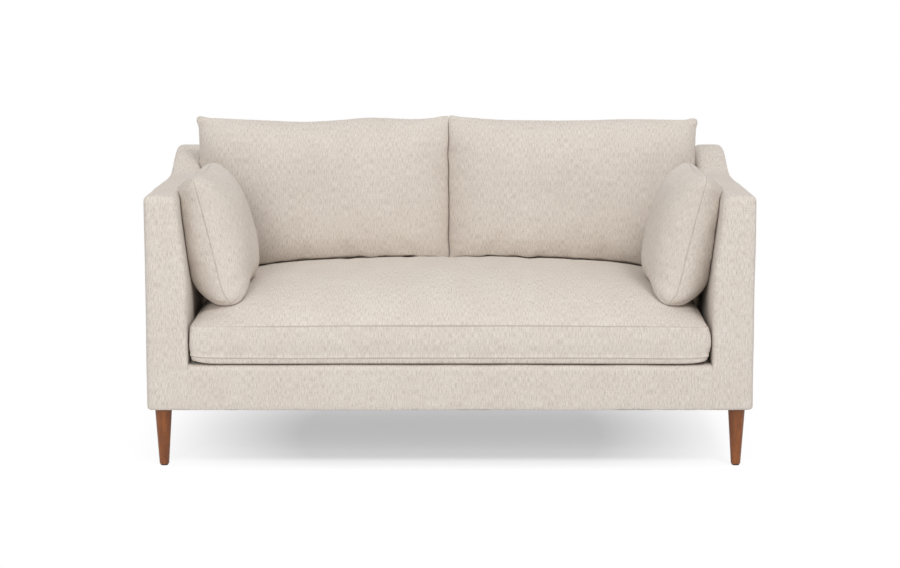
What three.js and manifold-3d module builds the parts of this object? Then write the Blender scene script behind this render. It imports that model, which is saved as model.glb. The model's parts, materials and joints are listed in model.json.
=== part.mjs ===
// A two-seat loveseat: a wooden frame under fitted upholstery, one bench seat cushion,
// two loose back cushions, two loose side pillows and four tapered wooden legs.
// Millimetres, +X to the viewer's right, -Y to the front, +Z up.
// The origin is on the floor under the middle. Depths are measured back from the front plane.
import * as THREE from "three";
import { mergeVertices } from "three/addons/utils/BufferGeometryUtils.js";
import Module from "manifold-3d";

const wasm = await Module();
wasm.setup();

// Overall sizes
const overallWidth = 1600;
const overallDepth = 905;
const undersideHeight = 155.5;
const railTopHeight = 278;
const armTopHeight = 724;
const backTopHeight = 776;

// Arms: thinner at the top, with a top that sinks a little and then sweeps up to the back
const armThickness = 88;
const armSeatThickness = 110;
const taperTopHeight = 690;
const taperFootHeight = 505;
const armDip = 8.5;
const levelBeforeSweep = 42;
const sweepLength = 243;
const sweepEndInset = 50;
const edgeRadius = 12;
const armRimRadius = 22;

// Upholstery over the frame: cloth on its padding
const coverWall = 12;
const backPadFoot = 125;
const backPadTop = 105;
const backEdgeRadius = 16;
const railNoseRadius = 12;

// Wooden frame
const boardThickness = 25;
const railBoardHeight = 101;
const postDepth = 45;
const blockDepth = 80;
const blockHeight = 48;
const armRailHeight = 30;
const topRailHeight = 62;
const braceWidth = 44;
const stileWidth = 60;

// Suspension
const springCount = 8;
const springSideInset = 77.5;
const springWire = 3.8;
const springSwing = 22;
const springWaves = 6;
const tieRodDiameter = 4;
const tieRodFrontInset = 330;
const tieRodRearInset = 295;
const strapWidth = 60;
const strapThickness = 2.5;
const strapCount = 4;
const strapSideInset = 165;
const strapEndLap = 40;

// Seat cushion: a boxed border between two seams, under a high crown
const seatSideGap = 2;
const seatFrontInset = 3;
const seatRearGap = 5;
const seatFootRise = 13;
const seatFootTuck = 8;
const seatBorderHeight = 90;
const seatBorderBulge = 2.5;
const seatCrown = 102;
const seatDrawIn = 4;
const seatCornerRadius = 24;
const seatCornerLift = 9;
const seatCrownMidDepth = 450;

// Back cushions: knife-edged, standing on the seat cushion and leaning on the back
const backCushionHeight = 470;
const backCushionSink = 77.5;
const backCushionSeamLead = 64;
const backCushionFrontCrown = 100;
const backCushionRearCrown = 100;
const backCushionDrawIn = 8;
const backCushionOuterInset = 72;
const backCushionCornerRadius = 10;
const backCushionMiddleGap = 4;
const backReclineDegrees = 5;

// Side pillows: knife-edged, leaning on the arms
const pillowHeight = 366;
const pillowLength = 420;
const pillowInnerCrown = 89;
const pillowOuterCrown = 107;
const pillowDrawIn = 14;
const pillowCornerRadius = 45;
const pillowLeanDegrees = 13.6;
const pillowTurnDegrees = 2.1;
const pillowMidInset = 170;
const pillowMidLead = 420;
const pillowMidRise = 106.7;

// Legs and their fixings
const legInsetSide = 40;
const legInsetFront = 44;
const legTopDiameter = 45;
const legFootDiameter = 25;
const glideDiameter = 20;
const glideThickness = 3;
const plateSide = 50;
const plateThickness = 2.2;
const boltDiameter = 8;
const boltInLeg = 28;
const boltInBlock = 34;

// Clearances: between touching pieces, where padding hides the wood, and past a cut
const joinGap = 0.3;
const paddingGap = 2;
const cutOverrun = 5;
const weldTolerance = 0.0001;

// Fullness: the power of the curve from the middle of a cushion to its seam
const seatSlopeShare = 0.45;
const seatSlopeFullnessShare = 2.3;
const seatSideFullnessShare = 11;
const seatFrontFullnessShare = 3.75;
const seatRearFullnessShare = 5;
const backFaceFullnessShare = 3.2;
const backEdgeFullnessShare = 0.62;
const pillowFaceFullnessShare = 2.5;
const pillowEdgeFullnessShare = 0.47;
const seatRingShares = [1, 0.985, 0.955, 0.91, 0.84, 0.74, 0.6, 0.42, 0.2];
const cornerLiftShare = 14;

// Places that follow from the sizes above
const halfWidth = overallWidth / 2;
const armInner = halfWidth - armThickness;
const armInnerSeat = halfWidth - armSeatThickness;
const boardInner = armInner + coverWall + joinGap;
const boardOuter = halfWidth - coverWall - joinGap;
const blockInner = armInnerSeat + coverWall + joinGap;
const frameBottom = undersideHeight + plateThickness + joinGap;
const railBoardTop = frameBottom + railBoardHeight;
const padFloor = railBoardTop + springWire + 2 * joinGap;
const boardFront = coverWall + joinGap;
const boardRear = overallDepth - coverWall - joinGap;
const rearPostFront = boardRear - postDepth;
const sweepEnd = overallDepth - sweepEndInset;
const sweepStart = sweepEnd - sweepLength;
const dipDepth = sweepStart - levelBeforeSweep;
const seatFloor = railTopHeight + joinGap;
const seatPeak = seatFloor + seatFootRise + seatBorderHeight + seatCrown;
const backCushionSeamDepth = overallDepth - backPadFoot - backCushionSeamLead;

const sides = [
  { name: "left", sign: -1 },
  { name: "right", sign: 1 },
];

const furniture = new THREE.Group();

// Materials
function finish(colour, roughness, metalness) {
  return new THREE.MeshStandardMaterial({ color: new THREE.Color(...colour), roughness, metalness });
}

const looks = {
  cloth: () => finish([0.71, 0.65, 0.59], 0.95, 0),
  legWood: () => finish([0.27, 0.12, 0.06], 0.45, 0),
  frameWood: () => finish([0.62, 0.46, 0.29], 0.8, 0),
  steel: () => finish([0.55, 0.56, 0.58], 0.4, 0.9),
  webbing: () => finish([0.06, 0.06, 0.07], 0.9, 0),
  felt: () => finish([0.5, 0.48, 0.45], 0.95, 0),
  lining: () => finish([0.03, 0.03, 0.03], 0.95, 0),
  plastic: () => finish([0.04, 0.04, 0.04], 0.6, 0),
};

// Small helpers
function fromFront(depth) {
  return depth - overallDepth / 2;
}

function smooth(value) {
  const t = Math.min(1, Math.max(0, value));
  return t * t * (3 - 2 * t);
}

function addMesh(name, geometry, look) {
  const mesh = new THREE.Mesh(geometry, look());
  mesh.name = name;
  furniture.add(mesh);
  return mesh;
}

// A box between three pairs of limits, given in the part's own frame
function boxBetween([x0, x1], [y0, y1], [z0, z1]) {
  const box = new THREE.BoxGeometry(Math.abs(x1 - x0), y1 - y0, z1 - z0);
  return box.translate((x0 + x1) / 2, (y0 + y1) / 2, (z0 + z1) / 2);
}

function addBoard(name, look, [x0, x1], [d0, d1], [z0, z1]) {
  const box = new THREE.BoxGeometry(Math.abs(x1 - x0), d1 - d0, z1 - z0);
  const mesh = addMesh(name, box, look);
  mesh.position.set((x0 + x1) / 2, fromFront((d0 + d1) / 2), (z0 + z1) / 2);
  return mesh;
}

// A closed surface from corner points and triangles, turned to face outwards
function closedSurface(points, triangles) {
  let volume = 0;
  for (const [a, b, c] of triangles) {
    const [p, q, r] = [points[a], points[b], points[c]];
    volume += p[0] * (q[1] * r[2] - q[2] * r[1]);
    volume -= p[1] * (q[0] * r[2] - q[2] * r[0]);
    volume += p[2] * (q[0] * r[1] - q[1] * r[0]);
  }
  const order = volume < 0 ? ([a, b, c]) => [a, c, b] : (corners) => corners;
  const geometry = new THREE.BufferGeometry();
  geometry.setAttribute("position", new THREE.Float32BufferAttribute(points.flat(), 3));
  geometry.setIndex(triangles.map(order).flat());
  geometry.computeVertexNormals();
  return geometry;
}

// Joins the rings of equal length into one skin and closes the first and last ring
function loft(rings) {
  const count = rings[0].length;
  const last = (rings.length - 1) * count;
  const triangles = [];
  for (let start = 0; start < last; start += count) {
    for (let i = 0; i < count; i++) {
      const a = start + i;
      const b = start + ((i + 1) % count);
      triangles.push([a, b, a + count], [b, b + count, a + count]);
    }
  }
  for (let i = 1; i + 1 < count; i++) {
    triangles.push([0, i + 1, i], [last, last + i, last + i + 1]);
  }
  return closedSurface(rings.flat(), triangles);
}

function mirrored(geometry) {
  const position = geometry.getAttribute("position");
  const points = [];
  for (let i = 0; i < position.count; i++) {
    points.push([-position.getX(i), position.getY(i), position.getZ(i)]);
  }
  const corners = [...geometry.index.array];
  const triangles = [];
  while (corners.length) triangles.push(corners.splice(0, 3));
  return closedSurface(points, triangles);
}

function onSide(side, geometry) {
  return side.sign < 0 ? mirrored(geometry) : geometry;
}

// Boolean cuts
function solidOf(geometry) {
  const bare = new THREE.BufferGeometry();
  bare.setAttribute("position", geometry.getAttribute("position"));
  if (geometry.index) bare.setIndex(geometry.index);
  const merged = mergeVertices(bare, weldTolerance);
  const vertProperties = new Float32Array(merged.getAttribute("position").array);
  const triVerts = new Uint32Array(merged.index.array);
  return new wasm.Manifold(new wasm.Mesh({ numProp: 3, vertProperties, triVerts }));
}

function cut(geometry, ...tools) {
  let solid = solidOf(geometry);
  for (const tool of tools) solid = solid.subtract(solidOf(tool));
  const mesh = solid.getMesh();
  const result = new THREE.BufferGeometry();
  result.setAttribute("position", new THREE.Float32BufferAttribute(mesh.vertProperties, 3));
  result.setIndex([...mesh.triVerts]);
  result.computeVertexNormals();
  return result;
}

// The same geometry, moved by the gap that two touching pieces keep
function shifted(geometry, x, y, z) {
  return geometry.clone().translate(x, y, z);
}

// Height of an arm's top at a depth from the front plane
function armTopAt(depth) {
  const low = armTopHeight - armDip * smooth(depth / dipDepth);
  const sweep = smooth((depth - sweepStart) / (sweepEnd - sweepStart));
  return low + (backTopHeight - low) * sweep;
}

// Depths at which the arm's top is drawn
function armDepths(start, end) {
  const levelSteps = 4;
  const sweepSteps = 8;
  const depths = [start];
  for (let i = 1; i <= levelSteps; i++) depths.push((dipDepth * i) / levelSteps);
  for (let i = 0; i <= sweepSteps; i++) {
    depths.push(sweepStart + ((sweepEnd - sweepStart) * i) / sweepSteps);
  }
  depths.push(end);
  return depths.filter((depth, i) => i === 0 || depth === end || (depth > start && depth < end));
}

// One upright section of an arm: straight sides, a tapered inner face and two rounded top edges
function armRing(depth, top, bottom, inset, radius) {
  const steps = 3;
  const outer = halfWidth - inset;
  const inner = armInner + inset;
  const innerSeat = armInnerSeat + inset;
  const y = fromFront(depth);
  const ring = [[outer, y, bottom]];
  for (let i = 0; i <= steps; i++) {
    const angle = ((Math.PI / 2) * i) / steps;
    ring.push([outer - radius * (1 - Math.cos(angle)), y, top - radius * (1 - Math.sin(angle))]);
  }
  for (let i = 0; i <= steps; i++) {
    const angle = ((Math.PI / 2) * i) / steps;
    ring.push([inner + radius * (1 - Math.sin(angle)), y, top - radius * (1 - Math.cos(angle))]);
  }
  ring.push([inner, y, taperTopHeight], [innerSeat, y, taperFootHeight], [innerSeat, y, bottom]);
  return ring;
}

// How far a rounded edge draws back from a face, at a distance from the face that it turns to
function roundedAway(distance, radius) {
  const left = Math.max(0, radius - distance);
  return radius - Math.sqrt(radius * radius - left * left);
}

// The outside of the right arm: a soft rim round its top, and tighter upright edges
function armOuterForm() {
  const turns = 4;
  const turning = (distance, depth) => {
    const top = armTopAt(depth) - roundedAway(distance, armRimRadius);
    return armRing(depth, top, undersideHeight, roundedAway(distance, edgeRadius), armRimRadius);
  };
  const distances = [];
  for (let i = 0; i < turns; i++) {
    distances.push(armRimRadius * (1 - Math.cos(((Math.PI / 2) * i) / turns)));
  }
  const front = distances.map((distance) => turning(distance, distance));
  const rear = distances.map((distance) => turning(distance, overallDepth - distance)).reverse();
  const between = armDepths(armRimRadius, overallDepth - armRimRadius).map((depth) =>
    armRing(depth, armTopAt(depth), undersideHeight, 0, armRimRadius),
  );
  return loft([...front, ...between, ...rear]);
}

// The room inside the right arm for its wooden frame, open at the underside
function armHollowForm() {
  const rings = armDepths(coverWall, overallDepth - coverWall).map((depth) =>
    armRing(depth, armTopAt(depth) - coverWall, undersideHeight - cutOverrun, coverWall, joinGap),
  );
  return loft(rings);
}

// A fitted arm cover: its inner face stops at the deck, so the frame's rails pass under it
function armCover() {
  const rails = boxBetween(
    [armInnerSeat - cutOverrun, armInner + coverWall],
    [fromFront(coverWall), fromFront(overallDepth - coverWall)],
    [undersideHeight - cutOverrun, padFloor],
  );
  const topRail = boxBetween(
    [armInnerSeat - cutOverrun, armInner + coverWall],
    [fromFront(rearPostFront), fromFront(overallDepth - coverWall)],
    [undersideHeight - cutOverrun, backTopHeight - coverWall],
  );
  return cut(armOuterForm(), armHollowForm(), rails, topRail);
}

// The padded cover of the front rail: a front face and a shelf over the ends of the springs
function railCover() {
  const length = 2 * (armInnerSeat - joinGap);
  const shelfDepth = boardFront + boardThickness + 2 * coverWall;
  const outline = new THREE.Shape();
  outline.moveTo(0, undersideHeight);
  outline.lineTo(coverWall, undersideHeight);
  outline.lineTo(coverWall, padFloor);
  outline.lineTo(shelfDepth, padFloor);
  outline.lineTo(shelfDepth, railTopHeight);
  outline.lineTo(railNoseRadius, railTopHeight);
  outline.absarc(railNoseRadius, railTopHeight - railNoseRadius, railNoseRadius, Math.PI / 2, Math.PI);
  outline.lineTo(0, undersideHeight);
  return acrossWidth(outline, length);
}

// An outline of depth and height, drawn out along X and centred on the middle
function acrossWidth(outline, length) {
  const curveSegments = 4;
  const drawn = new THREE.ExtrudeGeometry(outline, { depth: length, bevelEnabled: false, curveSegments });
  drawn.translate(0, 0, -length / 2);
  drawn.rotateX(Math.PI / 2);
  drawn.rotateZ(Math.PI / 2);
  return drawn.translate(0, fromFront(0), 0);
}

// The padded back: an inner face that leans back, a rounded top and the outside back
function backInnerDepth(height) {
  const share = (height - padFloor) / (backTopHeight - padFloor);
  return overallDepth - backPadFoot + (backPadFoot - backPadTop) * share;
}

// What the right arm takes of the back's width, with the gap between them
function besideBack() {
  const inner = armInner - joinGap;
  const innerSeat = armInnerSeat - joinGap;
  const low = undersideHeight - cutOverrun;
  const high = backTopHeight + cutOverrun;
  const rings = [overallDepth - backPadFoot - cutOverrun, overallDepth + cutOverrun].map((depth) => {
    const y = fromFront(depth);
    return [
      [halfWidth, y, low],
      [halfWidth, y, high],
      [inner, y, high],
      [inner, y, taperTopHeight],
      [innerSeat, y, taperFootHeight],
      [innerSeat, y, low],
    ];
  });
  return loft(rings);
}

function backCover() {
  const length = 2 * armInner;
  const radius = backEdgeRadius;
  const shoulder = backTopHeight - radius;
  const ceiling = backTopHeight - coverWall;
  const outline = new THREE.Shape();
  outline.moveTo(overallDepth, undersideHeight);
  outline.lineTo(overallDepth, shoulder);
  outline.absarc(overallDepth - radius, shoulder, radius, 0, Math.PI / 2);
  outline.lineTo(backInnerDepth(shoulder) + radius, backTopHeight);
  outline.absarc(backInnerDepth(shoulder) + radius, shoulder, radius, Math.PI / 2, Math.PI);
  outline.lineTo(backInnerDepth(padFloor), padFloor);
  outline.lineTo(backInnerDepth(padFloor) + coverWall, padFloor);
  outline.lineTo(backInnerDepth(ceiling) + coverWall, ceiling);
  outline.lineTo(overallDepth - coverWall, ceiling);
  outline.lineTo(overallDepth - coverWall, undersideHeight);
  return cut(acrossWidth(outline, length), ...sides.map((side) => onSide(side, besideBack())));
}

function addUpholstery() {
  for (const side of sides) {
    addMesh(`${side.name}_arm_cover`, onSide(side, armCover()), looks.cloth);
  }
  addMesh("front_rail_cover", railCover(), looks.cloth);
  addMesh("back_cover", backCover(), looks.cloth);
  const deckFront = boardFront + boardThickness + 2 * coverWall + joinGap;
  addBoard(
    "deck_pad",
    looks.felt,
    [joinGap - armInnerSeat, armInnerSeat - joinGap],
    [deckFront, backInnerDepth(padFloor) - joinGap],
    [padFloor, railTopHeight],
  );
}

// Wooden frame
function addFrame() {
  const railSpan = [joinGap - blockInner, blockInner - joinGap];
  const railHeights = [frameBottom, railBoardTop];
  addBoard("front_rail", looks.frameWood, railSpan, [boardFront, boardFront + boardThickness], railHeights);
  addBoard("back_rail", looks.frameWood, railSpan, [boardRear - boardThickness, boardRear], railHeights);
  const braceTop = railBoardTop - tieRodDiameter - joinGap;
  addBoard(
    "centre_brace",
    looks.frameWood,
    [-braceWidth / 2, braceWidth / 2],
    [boardFront + boardThickness + joinGap, boardRear - boardThickness - joinGap],
    [frameBottom, braceTop],
  );
  const topRailSpan = [joinGap - boardInner, boardInner - joinGap];
  const topRailTop = backTopHeight - coverWall - paddingGap;
  const topRailFoot = topRailTop - topRailHeight;
  const rearBoards = [boardRear - boardThickness, boardRear];
  addBoard("back_top_rail", looks.frameWood, topRailSpan, rearBoards, [topRailFoot, topRailTop]);
  addBoard(
    "back_stile",
    looks.frameWood,
    [-stileWidth / 2, stileWidth / 2],
    rearBoards,
    [railBoardTop + joinGap, topRailFoot - joinGap],
  );
  for (const side of sides) addArmFrame(side);
}

function addArmFrame(side) {
  const across = (inner, outer) => [side.sign * inner, side.sign * outer];
  const blockTop = frameBottom + blockHeight;
  const frontBlockEnd = boardFront + blockDepth;
  const rearBlockStart = boardRear - blockDepth;
  const railUnderside = (depth) => armTopAt(depth) - coverWall - paddingGap - armRailHeight;
  addBlock(`${side.name}_front_corner_block`, side, boardFront, legInsetFront);
  addBlock(`${side.name}_rear_corner_block`, side, rearBlockStart, overallDepth - legInsetFront);
  addBoard(
    `${side.name}_side_rail`,
    looks.frameWood,
    across(boardOuter - boardThickness, boardOuter),
    [frontBlockEnd + joinGap, rearBlockStart - joinGap],
    [frameBottom, railBoardTop],
  );
  const postTop = railUnderside(boardFront + postDepth) - joinGap;
  addBoard(
    `${side.name}_front_post`,
    looks.frameWood,
    across(boardInner, boardOuter),
    [boardFront, boardFront + postDepth],
    [blockTop + joinGap, postTop],
  );
  addBoard(
    `${side.name}_rear_post`,
    looks.frameWood,
    across(boardInner, boardOuter),
    [rearPostFront, boardRear],
    [blockTop + joinGap, armTopAt(rearPostFront) - coverWall - paddingGap],
  );
  const rings = armDepths(boardFront, rearPostFront - joinGap).map((depth) => {
    const top = armTopAt(depth) - coverWall - paddingGap;
    const foot = top - armRailHeight;
    const y = fromFront(depth);
    return [[boardOuter, y, foot], [boardOuter, y, top], [boardInner, y, top], [boardInner, y, foot]];
  });
  addMesh(`${side.name}_arm_rail`, onSide(side, loft(rings)), looks.frameWood);
}

// A corner block with the blind hole for its leg's bolt
function addBlock(name, side, start, legDepth) {
  const top = frameBottom + blockHeight;
  const block = boxBetween(
    [blockInner, boardOuter],
    [fromFront(start), fromFront(start + blockDepth)],
    [frameBottom, top],
  );
  const holeTop = frameBottom + boltInBlock + joinGap;
  const hole = roundBar(boltDiameter / 2 + joinGap, frameBottom - cutOverrun, holeTop);
  hole.translate(halfWidth - legInsetSide, fromFront(legDepth), 0);
  addMesh(name, onSide(side, cut(block, hole)), looks.frameWood);
}

// A plain round bar that stands between two heights
function roundBar(radius, foot, top) {
  const facets = 12;
  const bar = new THREE.CylinderGeometry(radius, radius, top - foot, facets);
  return bar.rotateX(Math.PI / 2).translate(0, 0, (foot + top) / 2);
}

// Suspension: wavy springs from rail to rail, tie rods below them and straps in the back
function addSuspension() {
  const start = boardFront + springWire;
  const length = boardRear - springWire - start;
  const samplesPerWave = 8;
  const points = [];
  for (let i = 0; i <= springWaves * samplesPerWave; i++) {
    const share = i / (springWaves * samplesPerWave);
    const swing = springSwing * Math.sin(2 * Math.PI * springWaves * share);
    points.push(new THREE.Vector3(swing, length * share, 0));
  }
  const half = springWire / 2;
  const section = new THREE.Shape();
  section.moveTo(-half, -half);
  section.lineTo(half, -half);
  section.lineTo(half, half);
  section.lineTo(-half, half);
  const springPitch = (2 * (armInnerSeat - springSideInset)) / (springCount - 1);
  for (let i = 0; i < springCount; i++) {
    const wire = new THREE.ExtrudeGeometry(section, {
      steps: springWaves * samplesPerWave,
      bevelEnabled: false,
      extrudePath: new THREE.CatmullRomCurve3(points),
    });
    const spring = addMesh(`seat_spring_${i + 1}`, wire, looks.steel);
    const x = (i - (springCount - 1) / 2) * springPitch;
    spring.position.set(x, fromFront(start), railBoardTop + joinGap + half);
  }
  [tieRodFrontInset, overallDepth - tieRodRearInset].forEach((depth, i) => {
    const facets = 8;
    const reach = 2 * (boardOuter - boardThickness - joinGap);
    const radius = tieRodDiameter / 2;
    const rod = new THREE.CylinderGeometry(radius, radius, reach, facets).rotateZ(Math.PI / 2);
    const mesh = addMesh(`spring_tie_rod_${i + 1}`, rod, looks.steel);
    mesh.position.set(0, fromFront(depth), railBoardTop - radius);
  });
  const strapPitch = (2 * (armInnerSeat - strapSideInset)) / (strapCount - 1);
  for (let i = 0; i < strapCount; i++) {
    const x = (i - (strapCount - 1) / 2) * strapPitch;
    const face = boardRear - boardThickness - joinGap;
    addBoard(
      `back_strap_${i + 1}`,
      looks.webbing,
      [x - strapWidth / 2, x + strapWidth / 2],
      [face - strapThickness, face],
      [railBoardTop - strapEndLap, backTopHeight - coverWall - paddingGap - topRailHeight + strapEndLap],
    );
  }
}

// Dust cover, legs, mounting plates, hanger bolts and glides
function legPlaces() {
  const places = [];
  for (const side of sides) {
    const x = side.sign * (halfWidth - legInsetSide);
    places.push({ name: `${side.name}_front`, x, y: fromFront(legInsetFront) });
    places.push({ name: `${side.name}_rear`, x, y: fromFront(overallDepth - legInsetFront) });
  }
  return places;
}

function addUnderside() {
  const hole = plateSide / 2 + joinGap;
  const windows = legPlaces().map(({ x, y }) =>
    boxBetween([x - hole, x + hole], [y - hole, y + hole], [0, frameBottom + cutOverrun]),
  );
  const sheet = boxBetween(
    [-boardOuter, boardOuter],
    [fromFront(boardFront), fromFront(boardRear)],
    [undersideHeight, undersideHeight + plateThickness],
  );
  addMesh("dust_cover", cut(sheet, ...windows), looks.lining);
  for (const place of legPlaces()) addLeg(place);
}

function addLeg({ name, x, y }) {
  const facets = 20;
  const legFoot = glideThickness + joinGap;
  const legTop = undersideHeight - joinGap;
  const boreRadius = boltDiameter / 2 + joinGap;
  const boreFoot = legTop - boltInLeg - joinGap;
  const profile = [
    [0, legFoot],
    [legFootDiameter / 2, legFoot],
    [legTopDiameter / 2, legTop],
    [boreRadius, legTop],
    [boreRadius, boreFoot],
    [0, boreFoot],
  ].map(([radius, height]) => new THREE.Vector2(radius, height));
  const turned = new THREE.LatheGeometry(profile, facets).rotateX(Math.PI / 2);
  const leg = addMesh(`${name}_leg`, turned, looks.legWood);
  leg.position.set(x, y, 0);
  const glideFacets = 16;
  const glideRadius = glideDiameter / 2;
  const disc = new THREE.CylinderGeometry(glideRadius, glideRadius, glideThickness, glideFacets);
  const glide = addMesh(`${name}_glide`, disc.rotateX(Math.PI / 2), looks.plastic);
  glide.position.set(x, y, glideThickness / 2);
  const half = plateSide / 2;
  const top = undersideHeight + plateThickness;
  const plate = boxBetween([-half, half], [-half, half], [undersideHeight, top]);
  const plateHole = roundBar(boreRadius, undersideHeight - cutOverrun, top + cutOverrun);
  addMesh(`${name}_leg_plate`, cut(plate, plateHole), looks.steel).position.set(x, y, 0);
  const bolt = roundBar(boltDiameter / 2, legTop - boltInLeg, frameBottom + boltInBlock);
  addMesh(`${name}_hanger_bolt`, bolt, looks.steel).position.set(x, y, 0);
}

// Plan of the seat cushion: straight sides that draw in a little, and rounded corners
function seatPlan() {
  const acrossSteps = 16;
  const alongSteps = 8;
  const cornerSteps = 3;
  const halfX = armInnerSeat - seatSideGap;
  const front = seatFrontInset;
  const rear = backInnerDepth(seatFloor) - seatRearGap;
  const halfY = (rear - front) / 2;
  const radius = seatCornerRadius;
  const corners = [
    { x: 1, y: -1, turn: -Math.PI / 2, steps: alongSteps },
    { x: 1, y: 1, turn: 0, steps: acrossSteps },
    { x: -1, y: 1, turn: Math.PI / 2, steps: alongSteps },
    { x: -1, y: -1, turn: Math.PI, steps: acrossSteps },
  ];
  const arcPoint = (corner, i) => {
    const angle = corner.turn + ((Math.PI / 2) * i) / cornerSteps;
    return [
      corner.x * (halfX - radius) + radius * Math.cos(angle),
      corner.y * (halfY - radius) + radius * Math.sin(angle),
    ];
  };
  const plan = [];
  corners.forEach((corner, n) => {
    for (let i = 0; i <= cornerSteps; i++) plan.push(arcPoint(corner, i));
    const from = arcPoint(corner, cornerSteps);
    const to = arcPoint(corners[(n + 1) % corners.length], 0);
    for (let i = 1; i < corner.steps; i++) {
      const share = i / corner.steps;
      plan.push([from[0] + (to[0] - from[0]) * share, from[1] + (to[1] - from[1]) * share]);
    }
  });
  return plan.map(([x, y]) => {
    const u = x / halfX;
    const v = y / halfY;
    const pullX = seatDrawIn * u ** 3 * (1 - v * v);
    const pullY = seatDrawIn * v ** 3 * (1 - u * u);
    return { x: x - pullX, depth: front + halfY + y - pullY, u, v };
  });
}

// Height of the seat cushion's top over a point of its plan
function seatTopAt(x, depth) {
  const front = seatFrontInset;
  const rear = backInnerDepth(seatFloor) - seatRearGap;
  const u = Math.abs(x) / (armInnerSeat - seatSideGap);
  const reach = depth < seatCrownMidDepth ? seatCrownMidDepth - front : rear - seatCrownMidDepth;
  const v = Math.abs(depth - seatCrownMidDepth) / reach;
  const slope = seatSlopeShare * u ** seatSlopeFullnessShare;
  const side = Math.max(0, 1 - slope - (1 - seatSlopeShare) * u ** seatSideFullnessShare);
  const fullness = depth < seatCrownMidDepth ? seatFrontFullnessShare : seatRearFullnessShare;
  const along = Math.max(0, 1 - v ** fullness);
  return seatFloor + seatFootRise + seatBorderHeight + seatCrown * side * along;
}

function seatCushion() {
  const plan = seatPlan();
  const middle = { x: 0, depth: seatCrownMidDepth };
  const border = (out, height) =>
    plan.map(({ x, depth, u, v }) => {
      const size = Math.hypot(u, v);
      const lift = Math.min(1, Math.abs(u)) ** cornerLiftShare * seatCornerLift;
      const rise = height < seatFootRise + seatBorderHeight / 2 ? lift : 0;
      return [x + (out * u) / size, fromFront(depth + (out * v) / size), seatFloor + height + rise];
    });
  const rings = [
    border(-seatFootTuck, 0).map(([x, y]) => [x, y, seatFloor]),
    border(-seatFootTuck / 4, seatFootRise / 2),
    border(0, seatFootRise),
    border(seatBorderBulge, seatFootRise + seatBorderHeight / 2),
  ];
  for (const share of seatRingShares) {
    rings.push(
      plan.map(({ x, depth }) => {
        const px = x * share;
        const pd = middle.depth + (depth - middle.depth) * share;
        return [px, fromFront(pd), seatTopAt(px, pd)];
      }),
    );
  }
  return capped(rings, [0, fromFront(middle.depth), seatTopAt(0, middle.depth)]);
}

// A skin through rings that is flat below its first ring and drawn to one point above its last
function capped(rings, peak) {
  const count = rings[0].length;
  const last = (rings.length - 1) * count;
  const points = [...rings.flat(), peak];
  const triangles = [];
  for (let start = 0; start < last; start += count) {
    for (let i = 0; i < count; i++) {
      const a = start + i;
      const b = start + ((i + 1) % count);
      triangles.push([a, b, a + count], [b, b + count, a + count]);
    }
  }
  for (let i = 0; i < count; i++) triangles.push([last + i, last + ((i + 1) % count), points.length - 1]);
  for (let i = 1; i + 1 < count; i++) triangles.push([0, i + 1, i]);
  return closedSurface(points, triangles);
}

// Moves a point of a rectangle so that the square corners become round ones
function withRoundCorner(x, z, halfWide, halfHigh, radius) {
  const coreX = THREE.MathUtils.clamp(x, radius - halfWide, halfWide - radius);
  const coreZ = THREE.MathUtils.clamp(z, radius - halfHigh, halfHigh - radius);
  const distance = Math.hypot(x - coreX, z - coreZ);
  if (distance === 0) return [x, z];
  const shrink = Math.max(Math.abs(x - coreX), Math.abs(z - coreZ)) / distance;
  return [coreX + (x - coreX) * shrink, coreZ + (z - coreZ) * shrink];
}

// A knife-edged cushion: two crowned faces that meet in a seam, drawn in between its corners.
// It stands in X and Z about its middle, with its front face to -Y.
function knifeCushion(form) {
  const { width, height, frontCrown, rearCrown, drawIn, cornerRadius, fullness, columns, rows } = form;
  const points = [];
  const triangles = [];
  const index = new Map();
  const place = (i, j, face) => {
    const edge = i === 0 || j === 0 || i === columns || j === rows;
    const key = `${i},${j},${edge ? 0 : face}`;
    if (index.has(key)) return index.get(key);
    const u = Math.sin((Math.PI / 2) * ((2 * i) / columns - 1));
    const v = Math.sin((Math.PI / 2) * ((2 * j) / rows - 1));
    const full = (1 - Math.abs(u) ** fullness.face) * (1 - Math.abs(v) ** fullness.face);
    const crown = face < 0 ? frontCrown : rearCrown;
    const drawnX = u * (width / 2 - drawIn * u * u * (1 - v * v));
    const drawnZ = v * (height / 2 - drawIn * v * v * (1 - u * u));
    const [x, z] = withRoundCorner(drawnX, drawnZ, width / 2, height / 2, cornerRadius);
    points.push([x, edge ? 0 : face * crown * full ** fullness.edge, z]);
    index.set(key, points.length - 1);
    return points.length - 1;
  };
  for (const face of [-1, 1]) {
    for (let i = 0; i < columns; i++) {
      for (let j = 0; j < rows; j++) {
        const [a, b] = [place(i, j, face), place(i + 1, j, face)];
        const [c, d] = [place(i + 1, j + 1, face), place(i, j + 1, face)];
        const quad = [[a, b, c], [a, c, d]];
        triangles.push(...(face < 0 ? quad : quad.map(([p, q, r]) => [p, r, q])));
      }
    }
  }
  return closedSurface(points, triangles);
}

// A loose cushion, cut to what it presses on: the seat, the back and the arm on its side
function pressed(cushion, side, { seat, back, arm }) {
  const ownArm = onSide(side, arm);
  return cut(
    onSide(side, cushion),
    shifted(seat, 0, 0, joinGap),
    shifted(back, 0, -joinGap, 0),
    shifted(back, 0, 0, joinGap),
    shifted(ownArm, -side.sign * joinGap, 0, 0),
    shifted(ownArm, 0, 0, joinGap),
  );
}

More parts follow.
